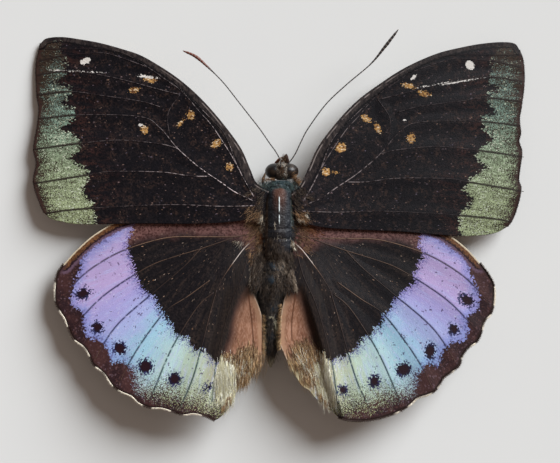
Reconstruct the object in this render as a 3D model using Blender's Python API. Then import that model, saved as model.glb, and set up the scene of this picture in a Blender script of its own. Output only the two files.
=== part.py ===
"""A spread butterfly specimen, dried, lying on its folded legs and the flat underside of its thorax.

The origin is the point of the resting plane under the thorax. +Y runs towards the head, +X towards
the butterfly's own right wings and +Z up. Lengths below are millimetres, and MM turns them into metres.
"""

import math

import bmesh
import bpy
import numpy as np
from mathutils import Vector
from mathutils.geometry import delaunay_2d_cdt

MM = 0.001
SHARP_EDGE = math.radians(35)

# Wing plates
MEMBRANE = 0.25  # thickness between the veins
VEIN_RIDGE = 0.10  # how far a vein stands out of each face
VEIN_HALF_WIDTH = 0.35
VEIN_STEP = 3.0
RIM_STEP = 2.2
GRID_STEP = 3.4
RIM_CLEARANCE = 0.45  # from a vein's end to the margin
ROOT_GAP = 0.06  # between a wing root and the thorax
ROOT_POINTS = 4

# Heights of the wings above the resting plane
FOREWING_ROOT_HEIGHT = 7.0
FOREWING_REACH = 43.0  # from the body's middle to the outer margin
FOREWING_DROOP = 4.6  # how far the wing falls over that
FRONT_DROOP = 2.0  # and how far more at its tip
FRONT_START = 5.0
FRONT_LENGTH = 28.0
HINDWING_ROOT_HEIGHT = 6.0
HINDWING_REACH = 39.0
HINDWING_DROOP = 3.6
TAIL_RISE = 1.5  # how far the hindwing rises to its tail
TAIL_LENGTH = 34.0
HINDWING_ARCH = 0.3
HINDWING_SPAN = 44.0
HINDWING_HINGE_Y = -2.0
FOLD_DEPTH = 1.2  # drop of the fold beside the abdomen
FOLD_WALL = 1.3  # width over which it drops
FOLD_START = -10.0  # the fold deepens from here
FOLD_FULL = -17.0  # and has its full depth from here

# The front and back ends of each wing's root on the thorax
LEFT_FOREWING_ROOT = (6.2, 1.5)
RIGHT_FOREWING_ROOT = (5.7, 0.8)
LEFT_HINDWING_ROOT = (0.3, -4.0)
RIGHT_HINDWING_ROOT = (-0.3, -4.0)

# The body, as stations (y, centre x, centre z, half width, half height)
THORAX = [
    (7.8, 0.25, 4.7, 1.3, 1.5),
    (7.0, 0.1, 4.5, 2.4, 2.5),
    (5.5, 0.0, 4.1, 3.1, 3.7),
    (3.0, 0.0, 3.85, 3.45, 4.25),
    (0.0, 0.0, 3.8, 3.5, 4.4),
    (-2.5, -0.1, 3.8, 3.3, 4.2),
    (-4.5, -0.3, 4.1, 2.8, 3.5),
    (-5.6, -0.5, 4.4, 2.2, 2.5),
]
THORAX_RINGS = 17
THORAX_SIDES = 20
ABDOMEN = [
    (-5.72, -0.55, 4.4, 2.2, 2.4),
    (-7.0, -0.8, 4.4, 2.75, 2.6),
    (-9.5, -1.15, 4.3, 2.9, 2.6),
    (-13.4, -1.5, 4.1, 2.25, 2.2),
    (-17.1, -1.35, 3.8, 1.6, 1.75),
    (-21.3, -1.4, 3.3, 1.2, 1.3),
    (-23.5, -1.5, 2.95, 0.75, 0.85),
    (-24.95, -1.5, 2.75, 0.12, 0.15),
]
ABDOMEN_SEGMENTS = 8
RINGS_EACH_SEGMENT = 3
SEGMENT_GROOVE = 0.07  # share of the radius lost in the groove between two segments
ABDOMEN_SIDES = 14
LEFT_PALP = [
    (10.45, -0.35, 3.3, 0.25, 0.25),
    (11.0, -0.25, 3.75, 0.5, 0.5),
    (11.6, 0.1, 4.2, 0.42, 0.42),
    (12.0, 0.35, 4.4, 0.1, 0.1),
]
RIGHT_PALP = [
    (10.45, 1.25, 3.35, 0.25, 0.25),
    (11.0, 1.2, 3.9, 0.55, 0.5),
    (11.8, 1.2, 4.5, 0.45, 0.45),
    (12.5, 1.27, 4.8, 0.07, 0.07),
]
PALP_SIDES = 8

# The head is turned a little to the butterfly's right
HEAD_CENTRE = (0.47, 9.35, 4.9)
HEAD_RADII = (2.2, 1.65, 1.95)
HEAD_HALF_WIDTH = 0.87  # where the capsule is cut flat for each eye
HEAD_BACK = 7.87
HEAD_SEGMENTS = 20
EYE_OFFSET = (1.2, 0.1, 0.0)
EYE_RADII = (1.72, 1.4, 1.75)
EYE_INNER = 0.91
EYE_SEGMENTS = 16
BALL_RINGS = 12

TONGUE_CENTRE = (0.47, 10.85, 2.03)
TONGUE_OUTER = 0.78
TONGUE_INNER = 0.3
TONGUE_TURNS = 2.0
TONGUE_START = math.radians(120)
TONGUE_RADIUS = 0.11
TONGUE_RINGS = 22

TUBE_SIDES = 6
ANTENNA_STEP = 2.1
# The antenna's radius at each share of its length: an even shaft, a slender club and a blunt tip
ANTENNA_SHARES = [0, 0.74, 0.9, 0.97, 1]
ANTENNA_RADII = [0.1, 0.1, 0.29, 0.2, 0.06]
LEFT_ANTENNA = [
    (0.3, 10.05, 7.0), (0.15, 11.4, 7.0), (-0.65, 12.9, 7.0), (-1.6, 14.2, 7.0),
    (-3.4, 16.8, 7.1), (-5.2, 19.1, 7.2), (-7.0, 21.4, 7.3), (-9.7, 24.8, 7.4),
    (-12.4, 27.5, 7.4), (-14.5, 29.3, 7.4), (-16.7, 30.3, 7.4),
]
RIGHT_ANTENNA = [
    (1.0, 10.05, 7.0), (1.9, 11.1, 7.0), (2.8, 12.4, 7.0), (3.85, 14.6, 7.0),
    (5.1, 16.9, 7.1), (8.2, 21.1, 7.3), (11.8, 24.5, 7.4), (15.9, 28.0, 7.4),
    (18.3, 30.9, 7.4), (19.4, 32.3, 7.4), (20.7, 34.0, 7.4),
]

# The joints of each right leg from hip to toe (x, y, z), and the radius at each
FORELEG = [(2.45, 5.9, 1.5), (2.9, 8.0, 1.3), (2.2, 9.7, 0.9)]
FORELEG_RADII = [0.3, 0.26, 0.12]
MIDLEG = [(3.4, 1.2, 1.6), (5.8, 4.0, 1.5), (7.4, -0.4, 0.45), (7.9, -4.6, 0.17)]
HINDLEG = [(3.15, -2.9, 1.6), (5.2, -4.9, 1.4), (5.7, -9.6, 0.4), (5.2, -13.6, 0.17)]
WALKING_LEG_RADII = [0.42, 0.34, 0.24, 0.17]
KNEE_ROUND = 0.5

# The free margin of each wing, from the front of its root round to the back of it
LEFT_FOREWING = [
    (-3.9, 7.4), (-5.1, 10.0), (-6.8, 13.7), (-10.3, 18.4), (-13.8, 22.3), (-17.3, 25.4),
    (-20.8, 27.8), (-24.3, 29.8), (-27.8, 31.0), (-31.3, 32.0), (-34.8, 32.7), (-38.3, 33.2),
    (-41.0, 33.0), (-42.1, 32.1), (-42.5, 30.5), (-42.9, 27.9), (-42.7, 23.0), (-42.3, 20.5),
    (-42.6, 17.4), (-43.2, 13.5), (-42.7, 10.9), (-43.2, 7.9), (-42.5, 5.1), (-41.3, 2.2),
    (-40.1, 1.2), (-38.3, 0.7), (-34.8, 0.2), (-24.3, 0.3), (-13.8, 0.3), (-7.7, 0.7),
]
RIGHT_FOREWING = [
    (3.7, 7.1), (5.1, 10.0), (6.8, 13.7), (10.3, 18.3), (13.8, 21.9), (17.7, 24.8), (21.2, 27.1),
    (24.7, 28.9), (28.2, 30.3), (31.7, 31.2), (35.2, 31.9), (39.0, 32.3), (41.5, 32.1),
    (42.4, 31.0), (43.1, 28.8), (43.2, 24.9), (42.6, 20.5), (42.3, 18.8), (42.5, 16.3),
    (42.2, 14.8), (42.7, 12.7), (42.1, 8.3), (42.5, 6.5), (42.0, 3.9), (41.1, 1.3),
    (40.1, -0.2), (38.3, -1.2), (35.9, -1.7), (32.0, -1.9), (28.2, -1.7), (21.2, -1.1),
    (12.4, -0.7), (7.5, -0.3),
]
LEFT_HINDWING = [
    (-6.0, 2.0), (-11.2, 2.9), (-17.3, 3.0), (-23.5, 2.2), (-27.8, 0.9), (-29.8, 0.0),
    (-32.9, -2.0), (-35.7, -4.5), (-37.8, -6.8), (-38.9, -8.5), (-39.3, -11.0), (-39.2, -13.4),
    (-38.3, -15.2), (-37.5, -16.4), (-36.9, -18.0), (-35.9, -19.9), (-34.1, -21.3),
    (-33.1, -22.9), (-32.4, -24.4), (-30.6, -25.8), (-29.2, -27.8), (-27.7, -28.9),
    (-25.7, -29.8), (-24.5, -30.9), (-22.6, -31.7), (-20.5, -31.8), (-18.7, -32.3),
    (-16.6, -32.9), (-14.9, -32.7), (-13.1, -33.1), (-11.2, -34.0), (-10.2, -33.4),
    (-8.9, -32.0), (-7.8, -30.4), (-7.2, -28.6), (-6.8, -26.9), (-6.1, -28.5), (-5.1, -27.4),
    (-4.0, -25.7), (-3.2, -23.6), (-2.7, -21.5), (-2.8, -19.0), (-2.9, -16.6), (-3.3, -14.8),
    (-4.0, -12.9), (-4.7, -11.0), (-4.9, -8.7), (-4.4, -6.2),
]
RIGHT_HINDWING = [
    (5.9, 0.9), (10.7, 2.0), (17.3, 2.2), (22.9, 1.3), (27.5, -0.5), (30.1, -1.9), (32.9, -4.1),
    (35.2, -6.6), (36.9, -8.9), (37.7, -10.8), (37.7, -13.4), (37.1, -15.5), (36.0, -16.7),
    (35.3, -19.0), (34.5, -20.4), (32.9, -21.5), (31.9, -23.0), (31.5, -24.4), (30.3, -25.5),
    (28.7, -26.6), (27.5, -28.5), (26.2, -29.4), (24.1, -30.1), (22.7, -31.3), (20.6, -32.5),
    (18.0, -33.4), (15.2, -33.9), (12.4, -33.9), (10.3, -33.4), (9.1, -32.3), (7.7, -31.1),
    (6.1, -29.9), (5.2, -28.5), (3.8, -27.8), (3.0, -26.5), (1.7, -24.3), (0.8, -22.3),
    (0.2, -20.8), (0.1, -18.7), (0.3, -15.9), (0.7, -13.6), (1.4, -11.5), (2.4, -9.7),
    (2.5, -7.5), (2.6, -5.9),
]

# The veins of the left wings, each from its root or fork outwards
RADIUS_VEIN = [
    (-4.4, 5.0), (-5.8, 7.4), (-10.0, 14.8), (-17.3, 23.7), (-26.1, 29.3), (-31.3, 30.9),
    (-41.8, 31.4),
]
MEDIAN_STEM = [(-4.6, 4.3), (-7.7, 5.8), (-15.6, 11.6), (-22.6, 18.3), (-27.8, 19.6), (-42.2, 18.8)]
SUBCOSTA = [(-5.1, -2.2), (-13.7, -2.0), (-19.8, -2.2), (-27.0, -4.3), (-35.4, -9.7), (-38.7, -13.9)]
FOREWING_VEINS = {
    "radius": RADIUS_VEIN,
    "radius_5": [(-21.2, 26.5), (-26.1, 28.9), (-33.1, 30.4), (-42.2, 28.9)],
    "media_1": [(-17.3, 22.8), (-27.8, 25.6), (-38.3, 27.1), (-42.5, 26.5)],
    "media_2": [(-20.8, 20.7), (-31.3, 22.8), (-36.6, 23.5), (-42.4, 23.0)],
    "media_3": MEDIAN_STEM,
    "cubitus_1": [(-17.7, 13.4), (-27.8, 14.9), (-42.7, 13.4)],
    "cubitus_2": [(-12.1, 8.5), (-27.8, 9.5), (-42.7, 7.4)],
    "anal": [(-4.2, 3.4), (-18.2, 3.6), (-27.8, 3.3), (-40.8, 2.1)],
    "cell_end": [(-17.3, 22.8), (-19.4, 19.5), (-19.1, 15.5)],
}
HINDWING_VEINS = {
    "subcosta": SUBCOSTA,
    "radius": [(-8.1, -2.2), (-13.7, -4.1), (-22.2, -6.9), (-31.5, -13.0), (-35.7, -17.6)],
    "media_1": [(-13.7, -4.1), (-21.4, -11.3), (-30.8, -21.1), (-32.4, -23.6)],
    "media_2": [(-12.1, -9.6), (-19.8, -15.0), (-28.0, -28.1)],
    "media_3": [(-11.4, -11.7), (-13.8, -13.7), (-19.3, -22.7), (-22.8, -31.1)],
    "cubitus_1": [(-10.9, -11.3), (-13.7, -22.0), (-17.5, -32.5)],
    "cell": [(-5.1, -3.1), (-9.5, -8.7), (-11.4, -11.7)],
    "cubitus_2": [(-5.1, -3.6), (-8.2, -13.1), (-10.9, -23.9), (-11.7, -30.6)],
}
# Three marks on each left wing, and where the same marks lie on the right wing
LEFT_FOREWING_MARKS = [(-3.9, 6.2), (-42.2, 32.1), (-40.4, 1.3)]
RIGHT_FOREWING_MARKS = [(3.6, 5.3), (42.45, 31.0), (40.4, -0.2)]
LEFT_HINDWING_MARKS = [(-4.2, -2.55), (-39.0, -11.3), (-11.0, -33.7)]
RIGHT_HINDWING_MARKS = [(1.95, -2.7), (37.6, -12.0), (9.55, -34.0)]
# The outer edge of the fold beside the abdomen, top to bottom
LEFT_FOLD = [(-6.0, -11.0), (-9.8, -23.2)]
RIGHT_FOLD = [(4.0, -11.0), (7.6, -23.2)]

# Each finish is a linear colour and a roughness
FOREWING_SCALES = ((0.05, 0.035, 0.035), 0.55)
HINDWING_SCALES = ((0.42, 0.45, 0.62), 0.55)
BODY_CUTICLE = ((0.03, 0.035, 0.04), 0.5)
EYE_SURFACE = ((0.03, 0.018, 0.014), 0.2)
PALP_SCALES = ((0.16, 0.09, 0.05), 0.7)
LEG_CUTICLE = ((0.09, 0.06, 0.04), 0.6)


def clear_scene():
    for obj in list(bpy.data.objects):
        bpy.data.objects.remove(obj)


def material(name, finish):
    colour, roughness = finish
    made = bpy.data.materials.new(name)
    made.use_nodes = True
    shader = made.node_tree.nodes["Principled BSDF"]
    shader.inputs["Base Color"].default_value = (*colour, 1.0)
    shader.inputs["Roughness"].default_value = roughness
    shader.inputs["Metallic"].default_value = 0.0
    return made


def add_object(name, vertices, faces, finish):
    """One closed solid from vertices in millimetres, as an object of its own with its own material."""
    mesh = bpy.data.meshes.new(name)
    mesh.from_pydata([tuple(v) for v in np.asarray(vertices) * MM], [], [tuple(f) for f in faces])
    mesh.validate()
    mesh.shade_smooth()
    mesh.set_sharp_from_angle(angle=SHARP_EDGE)
    mesh.materials.append(material(name, finish))
    obj = bpy.data.objects.new(name, mesh)
    bpy.context.scene.collection.objects.link(obj)
    return obj


def add_bmesh(name, bm, finish):
    bmesh.ops.recalc_face_normals(bm, faces=bm.faces)
    bm.verts.index_update()
    vertices = np.array([v.co[:] for v in bm.verts])
    faces = [[v.index for v in face.verts] for face in bm.faces]
    bm.free()
    return add_object(name, vertices, faces, finish)


def skin(rings):
    """A mesh over rings of equally many points, each joined to the next, with a face over either end."""
    bm = bmesh.new()
    corners = [[bm.verts.new(point) for point in ring] for ring in rings]
    bm.faces.new(corners[0])
    for near, far in zip(corners, corners[1:]):
        for i in range(len(near)):
            bm.faces.new([near[i], near[i - 1], far[i - 1], far[i]])
    bm.faces.new(corners[-1][::-1])
    return bm


def cut_flat(bm, point, outward):
    """Takes away what lies beyond a plane, and closes the cut with one flat face."""
    geometry = bm.verts[:] + bm.edges[:] + bm.faces[:]
    cut = bmesh.ops.bisect_plane(
        bm, geom=geometry, dist=1e-5, plane_co=point, plane_no=outward, clear_outer=True
    )
    edges = [e for e in cut["geom_cut"] if isinstance(e, bmesh.types.BMEdge)]
    bmesh.ops.contextual_create(bm, geom=edges)


def ellipsoid(centre, radii, segments):
    bm = bmesh.new()
    bmesh.ops.create_uvsphere(bm, u_segments=segments, v_segments=BALL_RINGS, radius=1.0)
    bmesh.ops.scale(bm, vec=radii, verts=bm.verts)
    bmesh.ops.translate(bm, vec=centre, verts=bm.verts)
    return bm


def even_angles(sides):
    return np.linspace(0, 2 * math.pi, sides, endpoint=False)


def through(points, step):
    """A smooth curve through the points (Catmull-Rom), with every point kept and no piece over step."""
    points = np.asarray(points, float)
    padded = np.vstack([2 * points[0] - points[1], points, 2 * points[-1] - points[-2]])
    curve = []
    for i in range(len(points) - 1):
        a, b, c, d = padded[i : i + 4]
        pieces = max(1, math.ceil(np.linalg.norm(c - b) / step))
        t = np.arange(pieces)[:, None] / pieces
        bend = (2 * a - 5 * b + 4 * c - d) * t**2 + (3 * b - a - 3 * c + d) * t**3
        curve.append(0.5 * (2 * b + (c - a) * t + bend))
    return np.vstack([*curve, points[-1:]])


def stretched(stations, count):
    """The stations read at count even steps of their first value, with straight runs between them."""
    stations = np.asarray(stations, float)
    y = np.linspace(stations[0, 0], stations[-1, 0], count)
    order = np.argsort(stations[:, 0])
    columns = [np.interp(y, stations[order, 0], stations[order, k]) for k in range(1, 5)]
    return np.column_stack([y, *columns])


def loft(stations, sides):
    """Elliptical rings along Y, one for each station, closed at both ends."""
    angles = even_angles(sides)
    rings = []
    for y, x, z, half_width, half_height in stations:
        ring = [x + half_width * np.cos(angles), np.full(sides, y), z + half_height * np.sin(angles)]
        rings.append(np.column_stack(ring))
    return skin(rings)


def tube(name, path, radii, finish):
    """Round rings square to a path, one corner of each straight down, closed at both ends."""
    path = np.asarray(path, float)
    ahead = np.gradient(path, axis=0)
    ahead /= np.linalg.norm(ahead, axis=1)[:, None]
    sideways = np.cross(ahead, (0.0, 0.0, 1.0))
    sideways /= np.linalg.norm(sideways, axis=1)[:, None]
    upward = np.cross(sideways, ahead)
    angles = (even_angles(TUBE_SIDES) - math.pi / 2)[None, :, None]
    spokes = np.cos(angles) * sideways[:, None] + np.sin(angles) * upward[:, None]
    add_bmesh(name, skin(path[:, None] + spokes * np.asarray(radii)[:, None, None]), finish)


def bent(joints, radii):
    """The path of a leg: straight between its joints, rounded a little at each."""
    joints = np.asarray(joints, float)
    path, widths = [joints[0]], [radii[0]]
    for before, joint, after, width in zip(joints, joints[1:], joints[2:], radii[1:]):
        start = joint + (before - joint) / np.linalg.norm(before - joint) * KNEE_ROUND
        end = joint + (after - joint) / np.linalg.norm(after - joint) * KNEE_ROUND
        path += [start, (start + 2 * joint + end) / 4, end]
        widths += [width] * 3
    return np.array([*path, joints[-1]]), np.array([*widths, radii[-1]])


def carried(points, here, there):
    """Points in plan moved by the flat map that takes three marks here to the three marks there."""
    here, there = (np.column_stack([np.asarray(marks, float), np.ones(3)]) for marks in (here, there))
    return np.column_stack([points, np.ones(len(points))]) @ np.linalg.solve(here, there[:, :2])


def distance_to_lines(points, lines):
    """The distance in plan from each point to the nearest of some lines."""
    nearest = np.full(len(points), np.inf)
    for line in lines:
        for a, b in zip(line, line[1:]):
            along = np.clip(((points - a) @ (b - a)) / ((b - a) @ (b - a)), 0, 1)
            nearest = np.minimum(nearest, np.linalg.norm(points - a - along[:, None] * (b - a), axis=1))
    return nearest


def inside(points, rim):
    """Whether each point is inside the closed rim, by counting the edges to its right."""
    crossings = np.zeros(len(points), int)
    for a, b in zip(rim, np.roll(rim, -1, axis=0)):
        spans = (a[1] > points[:, 1]) != (b[1] > points[:, 1])
        run = np.where(spans, (points[:, 1] - a[1]) / (b[1] - a[1] + 1e-12), 0)
        crossings += spans & (points[:, 0] < a[0] + run * (b[0] - a[0]))
    return crossings % 2 == 1


def inside_by(points, rim, clearance):
    """The points that are inside the rim and at least the clearance away from it."""
    return points[inside(points, rim) & (distance_to_lines(points, [np.vstack([rim, rim[:1]])]) > clearance)]


def thorax_side(y, height):
    """The thorax's half width at a height, and the x of its middle there."""
    stations = np.asarray(THORAX)[::-1]
    x, z, half_width, half_height = (np.interp(y, stations[:, 0], stations[:, k]) for k in range(1, 5))
    return half_width * np.sqrt(np.clip(1 - ((height - z) / half_height) ** 2, 0, 1)), x


def wing_rim(margin, root, height, side):
    """The margin, closed along the thorax by a root edge that keeps ROOT_GAP to it."""
    front, back = root
    y = np.linspace(back, front, ROOT_POINTS)
    half_width, middle = thorax_side(y, height - MEMBRANE)
    edge = np.column_stack([middle + side * (half_width + ROOT_GAP), y])
    free = through([edge[-1], *np.asarray(margin), edge[0]], RIM_STEP)
    return np.vstack([free, edge[1:-1]])


def forewing_height(plan):
    """The wing droops from its root to its outer margin, and more towards its tip."""
    out = np.abs(plan[:, 0]) / FOREWING_REACH
    forward = np.clip((plan[:, 1] - FRONT_START) / FRONT_LENGTH, 0, 1)
    return FOREWING_ROOT_HEIGHT - FOREWING_DROOP * out**1.5 - FRONT_DROOP * out * forward


def hindwing_height(plan, fold):
    """A shallow arch that droops outwards and rises to the tail, with the fold beside the abdomen sunk."""
    reach = np.hypot(plan[:, 0], plan[:, 1] - HINDWING_HINGE_Y)
    arch = HINDWING_ROOT_HEIGHT + HINDWING_ARCH * np.sin(math.pi * np.clip(reach / HINDWING_SPAN, 0, 1))
    arch -= HINDWING_DROOP * (np.abs(plan[:, 0]) / HINDWING_REACH) ** 1.5
    arch += TAIL_RISE * np.clip(-plan[:, 1] / TAIL_LENGTH, 0, 1)
    top, bottom = np.asarray(fold, float)
    along = (bottom - top) / np.linalg.norm(bottom - top)
    inward = np.array([-along[1], along[0]])
    if inward[0] * top[0] > 0:
        inward = -inward
    t = np.clip(((plan - top) @ inward) / FOLD_WALL + 0.5, 0, 1)
    depth = FOLD_DEPTH * np.clip((FOLD_START - plan[:, 1]) / (FOLD_START - FOLD_FULL), 0, 1)
    return arch - depth * t * t * (3 - 2 * t)


def vein_flanks(crests, rim):
    """The points where the veins' ridges run out into the membrane, clear of every other vein."""
    flanks = []
    for crest in crests:
        ahead = np.gradient(crest, axis=0)
        across = np.column_stack([-ahead[:, 1], ahead[:, 0]]) / np.linalg.norm(ahead, axis=1)[:, None]
        flanks += [crest + across * VEIN_HALF_WIDTH, crest - across * VEIN_HALF_WIDTH]
    flanks = np.vstack(flanks)
    flanks = flanks[distance_to_lines(flanks, crests) > VEIN_HALF_WIDTH * 0.9]
    return inside_by(flanks, rim, VEIN_HALF_WIDTH / 2)


def membrane_points(crests, rim):
    """Rows of points GRID_STEP apart, every other row moved half a step, clear of the veins and the rim."""
    low, high = rim.min(axis=0), rim.max(axis=0)
    rows = []
    for k, y in enumerate(np.arange(low[1], high[1], GRID_STEP * math.sqrt(3) / 2)):
        x = np.arange(low[0] + (k % 2) * GRID_STEP / 2, high[0], GRID_STEP)
        rows.append(np.column_stack([x, np.full(len(x), y)]))
    points = np.vstack(rows)
    clearance = GRID_STEP * 0.4
    return inside_by(points[distance_to_lines(points, crests) > clearance], rim, clearance)


def turned_left(flat, triangle):
    """The triangle with its corners in the order that faces it up."""
    a, b, c = flat[list(triangle)]
    left = (b[0] - a[0]) * (c[1] - a[1]) > (b[1] - a[1]) * (c[0] - a[0])
    return tuple(triangle) if left else tuple(triangle[::-1])


def wing(name, rim, veins, height, finish):
    """A thin plate of the rim's outline whose veins are ridges on both faces."""
    crests = [inside_by(through(vein, VEIN_STEP), rim, RIM_CLEARANCE) for vein in veins]
    plan, edges = list(rim), []
    for crest in crests:
        first = len(plan)
        plan += list(crest)
        edges += [(first + i, first + i + 1) for i in range(len(crest) - 1)]
    plan += [*vein_flanks(crests, rim), *membrane_points(crests, rim)]
    inside_only = 1
    result = delaunay_2d_cdt([Vector(p) for p in plan], edges, [range(len(rim))], inside_only, 1e-4)
    flat = np.array([v[:] for v in result[0]])
    upper = [turned_left(flat, triangle) for triangle in result[2]]
    ridge = VEIN_RIDGE * np.clip(1 - distance_to_lines(flat, crests) / VEIN_HALF_WIDTH, 0, 1)
    half, middle, count = MEMBRANE / 2 + ridge, height(flat), len(flat)
    vertices = np.vstack([np.column_stack([flat, middle + half]), np.column_stack([flat, middle - half])])
    lower = [tuple(i + count for i in triangle[::-1]) for triangle in upper]
    used = {(t[i], t[(i + 1) % 3]) for t in upper for i in range(3)}
    sides = [(b, a, a + count, b + count) for a, b in used if (b, a) not in used]
    add_object(name, vertices, upper + lower + sides, finish)


def forewings():
    veins = [np.asarray(v, float) for v in FOREWING_VEINS.values()]
    rim = wing_rim(LEFT_FOREWING, LEFT_FOREWING_ROOT, FOREWING_ROOT_HEIGHT, -1)
    wing("left_forewing", rim, veins, forewing_height, FOREWING_SCALES)
    veins = [carried(v, LEFT_FOREWING_MARKS, RIGHT_FOREWING_MARKS) for v in veins]
    rim = wing_rim(RIGHT_FOREWING, RIGHT_FOREWING_ROOT, FOREWING_ROOT_HEIGHT, 1)
    wing("right_forewing", rim, veins, forewing_height, FOREWING_SCALES)


def hindwings():
    veins = [np.asarray(v, float) for v in HINDWING_VEINS.values()]
    rim = wing_rim(LEFT_HINDWING, LEFT_HINDWING_ROOT, HINDWING_ROOT_HEIGHT, -1)
    wing("left_hindwing", rim, veins, lambda plan: hindwing_height(plan, LEFT_FOLD), HINDWING_SCALES)
    veins = [carried(v, LEFT_HINDWING_MARKS, RIGHT_HINDWING_MARKS) for v in veins]
    rim = wing_rim(RIGHT_HINDWING, RIGHT_HINDWING_ROOT, HINDWING_ROOT_HEIGHT, 1)
    wing("right_hindwing", rim, veins, lambda plan: hindwing_height(plan, RIGHT_FOLD), HINDWING_SCALES)


def thorax():
    bm = loft(stretched(THORAX, THORAX_RINGS), THORAX_SIDES)
    cut_flat(bm, (0, 0, 0), (0, 0, -1))
    add_bmesh("thorax", bm, BODY_CUTICLE)


def abdomen():
    """Eight segments, each a barrel that narrows to the groove at its ends."""
    stations = stretched(ABDOMEN, ABDOMEN_SEGMENTS * RINGS_EACH_SEGMENT + 1)
    stations[RINGS_EACH_SEGMENT:-1:RINGS_EACH_SEGMENT, 3:] *= 1 - SEGMENT_GROOVE
    add_bmesh("abdomen", loft(stations, ABDOMEN_SIDES), BODY_CUTICLE)


def head():
    """The capsule between the eyes, cut flat for each of them and at its neck."""
    bm = ellipsoid(HEAD_CENTRE, HEAD_RADII, HEAD_SEGMENTS)
    cut_flat(bm, (HEAD_CENTRE[0] - HEAD_HALF_WIDTH, 0, 0), (-1, 0, 0))
    cut_flat(bm, (HEAD_CENTRE[0] + HEAD_HALF_WIDTH, 0, 0), (1, 0, 0))
    cut_flat(bm, (0, HEAD_BACK, 0), (0, -1, 0))
    add_bmesh("head", bm, BODY_CUTICLE)


def eye(name, side):
    centre = Vector(HEAD_CENTRE) + Vector((side * EYE_OFFSET[0], *EYE_OFFSET[1:]))
    bm = ellipsoid(centre, EYE_RADII, EYE_SEGMENTS)
    cut_flat(bm, (HEAD_CENTRE[0] + side * EYE_INNER, 0, 0), (-side, 0, 0))
    add_bmesh(name, bm, EYE_SURFACE)


def proboscis():
    """A flat spiral under the head, its outer end up against the face."""
    turn = np.linspace(0, 1, TONGUE_RINGS)
    sides = even_angles(TUBE_SIDES)
    rings = []
    for share in turn:
        angle = TONGUE_START - share * TONGUE_TURNS * 2 * math.pi
        out = TONGUE_OUTER + (TONGUE_INNER - TONGUE_OUTER) * share + TONGUE_RADIUS * np.cos(sides)
        ring = [TONGUE_RADIUS * np.sin(sides), out * math.cos(angle), out * math.sin(angle)]
        rings.append(TONGUE_CENTRE + np.column_stack(ring))
    add_bmesh("proboscis", skin(rings), LEG_CUTICLE)


def antenna(name, points):
    path = through(points, ANTENNA_STEP)
    length = np.concatenate([[0], np.cumsum(np.linalg.norm(np.diff(path, axis=0), axis=1))])
    tube(name, path, np.interp(length / length[-1], ANTENNA_SHARES, ANTENNA_RADII), BODY_CUTICLE)


def leg_pair(name, joints, radii):
    path, widths = bent(joints, radii)
    tube("right_" + name, path, widths, LEG_CUTICLE)
    tube("left_" + name, path * (-1.0, 1.0, 1.0), widths, LEG_CUTICLE)


clear_scene()
forewings()
hindwings()
thorax()
abdomen()
head()
eye("left_eye", -1)
eye("right_eye", 1)
add_bmesh("left_palp", loft(LEFT_PALP, PALP_SIDES), PALP_SCALES)
add_bmesh("right_palp", loft(RIGHT_PALP, PALP_SIDES), PALP_SCALES)
proboscis()
antenna("left_antenna", LEFT_ANTENNA)
antenna("right_antenna", RIGHT_ANTENNA)
leg_pair("foreleg", FORELEG, FORELEG_RADII)
leg_pair("midleg", MIDLEG, WALKING_LEG_RADII)
leg_pair("hindleg", HINDLEG, WALKING_LEG_RADII)
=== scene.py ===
import math

import bpy
import numpy as np
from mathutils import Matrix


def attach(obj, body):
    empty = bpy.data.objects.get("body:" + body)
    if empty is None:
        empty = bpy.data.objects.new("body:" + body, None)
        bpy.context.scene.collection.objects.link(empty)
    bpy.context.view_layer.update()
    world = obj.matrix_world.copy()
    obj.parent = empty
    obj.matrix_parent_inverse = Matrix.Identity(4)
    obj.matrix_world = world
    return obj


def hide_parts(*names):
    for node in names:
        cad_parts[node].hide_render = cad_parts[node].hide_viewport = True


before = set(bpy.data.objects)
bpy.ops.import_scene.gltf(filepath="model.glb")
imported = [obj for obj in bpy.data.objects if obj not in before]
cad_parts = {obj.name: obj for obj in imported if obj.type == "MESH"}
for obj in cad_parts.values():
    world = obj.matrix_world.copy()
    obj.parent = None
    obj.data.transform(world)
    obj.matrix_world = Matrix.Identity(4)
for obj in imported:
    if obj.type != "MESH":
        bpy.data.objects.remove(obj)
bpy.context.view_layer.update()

# Thorax: the hard middle of the body that carries the wings and the legs. It is dark chitin with a
# teal-grey collar behind the head, a glossy shield with a raised line down its middle, along which a
# thin highlight is painted, and a small knob behind the shield. Its underside is worn flat where the
# specimen lies.
MM = 0.001
THORAX = [
    (7.8, 0.25, 4.7, 1.3, 1.5),
    (7.0, 0.1, 4.5, 2.4, 2.5),
    (5.5, 0.0, 4.1, 3.1, 3.7),
    (3.0, 0.0, 3.85, 3.45, 4.15),
    (0.0, 0.0, 3.8, 3.5, 4.25),
    (-2.5, -0.1, 3.8, 3.3, 4.1),
    (-4.5, -0.3, 4.1, 2.8, 3.5),
    (-5.6, -0.5, 4.4, 2.2, 2.5),
]


def srgb(*values):
    """The linear colour that a screen shows as these three values out of 255."""
    share = np.array(values) / 255
    return tuple(np.where(share <= 0.04045, share / 12.92, ((share + 0.055) / 1.055) ** 2.4).tolist())


def eased(share):
    """A share held between 0 and 1 whose ends are rounded: three times its square less twice its cube."""
    share = np.clip(share, 0, 1)
    return share * share * (3 - 2 * share)


def bump(value, centre, width):
    """A smooth hump of height 1 at the centre: e to the minus square of the distance over the width."""
    return np.exp(-(((value - centre) / width) ** 2))


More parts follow.
